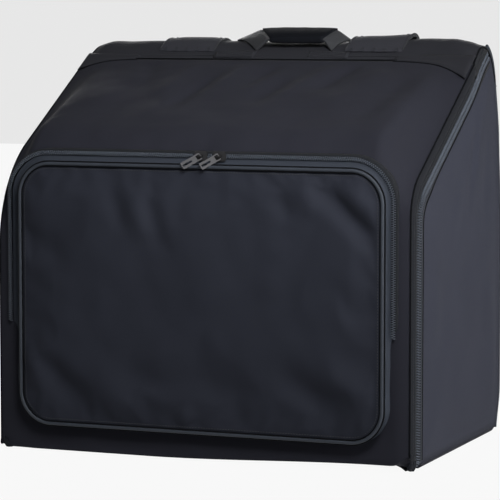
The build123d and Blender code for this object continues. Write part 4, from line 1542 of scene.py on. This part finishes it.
# Piping round the back, in the seam between the sides and the back.
edging_y = back_y - 1.6 * mm
edge_line = Line(
    ((edging_y, 4 * mm), (edging_y, peak_z - 1.6 * mm),
     (back_y - 80 * mm, peak_z - 80 * mm * tan(slope))),
    (0, top_radius - 1.6 * mm, 0),
)
edging = []
for sign in (-1, 1):
    stations = []
    for distance in spread(0, edge_line.lengths[0] + 0.55 * edge_line.lengths[1], 90):
        point, way = edge_line.at(distance)
        x = sign * (half_width - 1.4 * mm + flare(*point))
        stations.append((Vector((x, *point)), Vector((0, way.y, -way.x)), Vector((sign, 0, 0))))
    edging.append(belt("edging", stations, circle_section(2.0 * mm, 10)))
finish_piece(join("back_edging", edging), piping_cloth, "case", slot="piping")

# ---------------------------------------------------------------- shoulder straps

strap_middle = 118 * mm
strap_half = 35.5 * mm
strap_thick = 6.6 * mm
strap_bottom = 150 * mm
strap_front = seam_y + 14 * mm
seam_in = 7 * mm  # stitches inside the pad's edge
belt_half = 12.5 * mm
belt_thick = 1.8 * mm
pad_sides = 28
tab_columns, tab_rows = 13, 11


def strap_course(stand):
    """Middle line of a pad from its sewn front end over the top and down the back."""
    lean = Vector((-sin(slope), cos(slope))) * stand
    start = Vector((seam_y, seam_z)) + lean
    peak = Vector((back_y + stand, peak_z + stand * (tan(slope) + 1 / cos(slope))))
    return Line((start, peak, (back_y + stand, strap_bottom)), (0, top_radius + stand, 0))


def pad_section(half, thick):
    """Flat oval with full edges."""
    points = []
    for k in range(pad_sides):
        c, t = cos(2 * pi * k / pad_sides), sin(2 * pi * k / pad_sides)
        points.append((half * sign_of(c) * abs(c) ** 0.55, thick / 2 * sign_of(t) * abs(t) ** 0.75))
    return points


def root(share):
    """The pad swells from a flat sewn root at its front end."""
    return ease(share / 0.16)


def pad_width(share):
    """The pad is full over the shoulder and tapers to its webbing at the lower end."""
    return strap_half * (1 - 0.55 * ease((share - 0.84) / 0.15)) * (1 - 0.04 * sin(pi * share) ** 2)


for sign, side in ((-1, "left"), (1, "right")):
    course = strap_course(3.6 * mm if sign > 0 else 3.0 * mm)
    start = next(d for d in spread(0, course.length, 2000) if course.at(d)[0].x >= strap_front)
    strap_x = sign * strap_middle
    steps = spread(start, course.length - 0.5 * mm, 110)
    pad_rows = []
    for n, distance in enumerate(steps):
        share = n / (len(steps) - 1)
        point, way = course.at(distance)
        out = Vector((0, -way.y, way.x))
        arch = 2.4 * mm * exp(-((share - 0.13) / 0.05) ** 2) * (1 if sign > 0 else 0.2)
        sunk = (strap_thick / 2 - 0.6 * mm) * (1 - root(share))
        wave = ripple((strap_x, share * 0.4, 31), 0.04, 0.7 * mm) * ease(share / 0.04)
        middle = Vector((strap_x, *point)) + out * (arch - sunk + wave)
        pad_rows.append((middle, Vector((1, 0, 0)), out, share))

    def edge_lift(a, share):
        """The right pad's outer edge stands up off the yoke where it goes over the top."""
        return 5.0 * mm * exp(-((share - 0.15) / 0.06) ** 2) * max(a / strap_half, 0) ** 2 * (sign > 0)

    def pad_place(i, j):
        point, over, out, share = pad_rows[j]
        ends = ease((len(pad_rows) - 1 - j) / 3) * root(share)
        a, o = pad_section(pad_width(share), strap_thick * (0.2 + 0.8 * ends))[i % pad_sides]
        channel = -0.9 * mm * exp(-((abs(a) - pad_width(share) + seam_in) / (1.6 * mm)) ** 2)
        puff = ripple((a, share * 0.4, sign), 0.02, 0.5 * mm)
        return point + over * a + out * (o + sign_of(o) * (channel + puff) * ends + edge_lift(a, share))

    pad = cloth_panel(f"{side}_strap_pad", pad_sides + 1, len(pad_rows), pad_place)
    merge_doubles(pad)
    cap_ends(pad)
    outward(pad)
    smooth(pad)
    finish_piece(pad, pad_cloth, "case", (f"{side}_shoulder_strap",), slot="strap_pad")

    binding, seams = [], []
    for edge in (-1, 1):
        rows = []
        for p, over, out, share in pad_rows[1:-1]:
            half = edge * pad_width(share)
            at = p + over * (half - edge * 0.3 * mm) + out * edge_lift(half, share)
            rows.append((at, over * (0.5 + 0.5 * root(share)), out * (0.25 + 0.75 * root(share))))
        binding.append(belt("binding", rows, round_section(3.4 * mm, 5.2 * mm, 1.4 * mm)))
        for facing in (1, -1):
            path, outs = [], []
            for p, over, out, share in pad_rows[12:-3]:
                a = edge * (pad_width(share) - seam_in)
                stand = facing * (strap_thick / 2 - 1.2 * mm) + edge_lift(a, share)
                path.append(p + over * a + out * stand)
                outs.append(out * facing)
            seams += stitched(path, outs)
    finish_piece(join(f"{side}_strap_binding", binding), belt_cloth, "case", slot="webbing")
    seams = copies(f"{side}_strap_stitching", one_stitch, seams)
    finish_piece(seams, stitch_thread, "case", slot="strap_pad")

    # Bar-tacks that hold the front end down on the yoke.
    tacks = []
    for x in spread(strap_x - 28 * mm, strap_x + 28 * mm, 5):
        for dx in (-1.0 * mm, 1.0 * mm):
            spots = [(x + dx, strap_front + 1 * mm + 7 * mm * t) for t in spread(0, 1, 3)]
            tacks += yoke_stitches(spots, 2.0 * mm, 2.6 * mm)
    tacks = copies(f"{side}_strap_bar_tacks", one_stitch, tacks)
    finish_piece(tacks, stitch_thread, "case", slot="webbing")

    # Loop through the ladder lock.
    low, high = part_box(f"{side}_lock_loop")
    front_run, rear_run, under_run = low[1] + 0.9 * mm, high[1] - 0.9 * mm, low[2] + 0.9 * mm
    loop_line = Line(((front_run, high[2] + 3 * mm), (front_run, under_run),
                      (rear_run, under_run), (rear_run, high[2] + 3 * mm)),
                     (0, 2.2 * mm, 2.2 * mm, 0))
    rows = []
    for distance in spread(0, loop_line.length, 30):
        point, way = loop_line.at(distance)
        rows.append((Vector((strap_x, *point)), Vector((1, 0, 0)), Vector((0, -way.y, way.x))))
    loop = belt(f"{side}_loop_band", rows, round_section(2 * belt_half - 0.6 * mm, 1.2 * mm, 0.4 * mm, 2))
    finish_piece(loop, belt_cloth, "case", (f"{side}_lock_loop",), slot="webbing")

    # Lower webbing: behind the lock, then slanting out to its tab.
    lock_low, lock_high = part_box(f"{side}_ladder_lock")
    tab_low, tab_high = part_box(f"{side}_strap_tab")
    tab_x = (tab_low[0] + tab_high[0]) / 2
    route = Line(((strap_x, lock_high[2] - 10 * mm), (strap_x, lock_low[2] - 1 * mm),
                  (tab_x, tab_high[2] - 6 * mm)), (0, 60 * mm, 0))
    rows = []
    for distance in spread(0, route.length, 40):
        point, way = route.at(distance)
        y = back_y + 1.25 * mm + 0.6 * mm * sin(pi * distance / route.length)
        rows.append((Vector((point.x, y, point.y)), Vector((-way.y, 0, way.x)), Vector((0, 1, 0))))
    lower = belt(f"{side}_lower_webbing", rows, round_section(2 * belt_half, belt_thick, 0.5 * mm, 2))
    finish_piece(lower, belt_cloth, "case", (f"{side}_strap_webbing",), slot="webbing")

    # Tab: a folded triangle of webbing, stitched to the back.
    tab_half = (tab_high[0] - tab_low[0]) / 2

    def tab_place(i, j):
        share, up = i / (tab_columns - 1), j / (tab_rows - 1)
        half = tab_half * (1 - up) + belt_half * up
        rim = min(i, tab_columns - 1 - i, j, tab_rows - 1 - j)
        y = back_y + 1.2 * mm + 1.7 * mm * ease(rim / 1.5)
        return (tab_x + half * (2 * share - 1), y, tab_low[2] + (tab_high[2] - tab_low[2]) * up)

    tab = cloth_panel(f"{side}_tab_patch", tab_columns, tab_rows, tab_place, (0, 0, 0.03))
    thicken(tab, 1.1 * mm)
    finish_piece(tab, belt_cloth, "case", (f"{side}_strap_tab",), slot="webbing")
    low_half, high_half = tab_half - 5 * mm, belt_half - 3 * mm
    low_z, high_z, stitch_y = tab_low[2] + 4 * mm, tab_high[2] - 5 * mm, back_y + 2.95 * mm
    corners = [(tab_x - low_half, stitch_y, low_z), (tab_x + low_half, stitch_y, low_z),
               (tab_x + high_half, stitch_y, high_z), (tab_x - high_half, stitch_y, high_z)]
    stitches = []
    for a, b in box_and_cross:
        stitches += stitched([corners[a], corners[b]], [(0, 1, 0)])
    stitches = copies(f"{side}_tab_stitching", one_stitch, stitches)
    finish_piece(stitches, stitch_thread, "case", slot="webbing")

# ---------------------------------------------------------------- finish of the kept solids

for name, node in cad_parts.items():
    if "slider" in name or "puller" in name:
        only_material(node, slider_metal)
    if "ladder_lock" in name:
        only_material(node, buckle_plastic)

# ---------------------------------------------------------------- floor, light and camera

bpy.ops.mesh.primitive_plane_add(size=12)
floor = new_piece("floor")
floor_paint = Finish("pale_floor", Roughness=0.9, Base_Color=(0.22, 0.22, 0.22, 1))
seen = floor_paint.node("LightPath", "Is Camera Ray")
seen = seen.at_least(floor_paint.node("LightPath", "Is Glossy Ray"))
grey = Value(floor_paint, floor_paint.shader.outputs[0])
white = floor_paint.node("MixShader", 0, None, seen * 0.93, grey, floor_paint.node("Emission"))
floor_paint.feed(floor_paint.output("Material Output"), white)
floor.data.materials.append(floor_paint.material)

# The world lights softly, and looks pale to the camera and through glass.
world = bpy.data.worlds.new("studio")
bpy.context.scene.world = world
world.use_nodes = True
sky = Paint(world.node_tree)
seen = sky.node("LightPath", "Is Camera Ray")
seen = seen.at_least(sky.node("LightPath", "Is Transmission Ray"))
dim = sky.tree.nodes["Background"]
dim.inputs["Color"].default_value = (1, 1, 1, 1)
dim.inputs["Strength"].default_value = 0.12
white = sky.node("Background", Strength=1.0)
both = sky.node("MixShader", 0, None, seen, Value(sky, dim.outputs[0]), white)
sky.feed(sky.output("World Output"), both)


def lamp(name, place, aim, size, power, fan=180):
    bpy.ops.object.light_add(type="AREA", location=place)
    light = bpy.context.object
    light.name = name
    light.data.shape = "RECTANGLE"
    light.data.size, light.data.size_y = size
    light.data.energy = power
    light.data.spread = radians(fan)
    light.rotation_euler = (Vector(aim) - Vector(place)).to_track_quat("-Z", "Y").to_euler()


lamp("key_light", (0.63, -0.97, 1.00), (0.08, -0.15, 0.42), (0.5, 0.5), 1.8, fan=56)
lamp("side_light", (2.2, -0.3, 0.7), (0, 0, 0.25), (1.0, 1.2), 26)
lamp("back_light", (-0.7, 2.0, 0.90), (0, 0, 0.25), (1.4, 0.6), 40)

look_at = Vector((0, 0.012, 0.220))
turn, lift, distance = radians(21.9), radians(5.2), 2.990
bpy.ops.object.camera_add()
camera = bpy.context.object
camera.name = "camera"
camera.location = look_at + distance * Vector((sin(turn) * cos(lift), -cos(turn) * cos(lift), sin(lift)))
camera.rotation_euler = (look_at - camera.location).to_track_quat("-Z", "Y").to_euler()
picture, focal, centre = 500, 2580, (256.9, 248.8)  # in pixels of the photograph
camera.data.sensor_width = 36
camera.data.lens = camera.data.sensor_width * focal / picture
camera.data.shift_x = (picture / 2 - centre[0]) / picture
camera.data.shift_y = (centre[1] - picture / 2) / picture
bpy.context.scene.camera = camera

bpy.context.scene.view_settings.view_transform = "Standard"
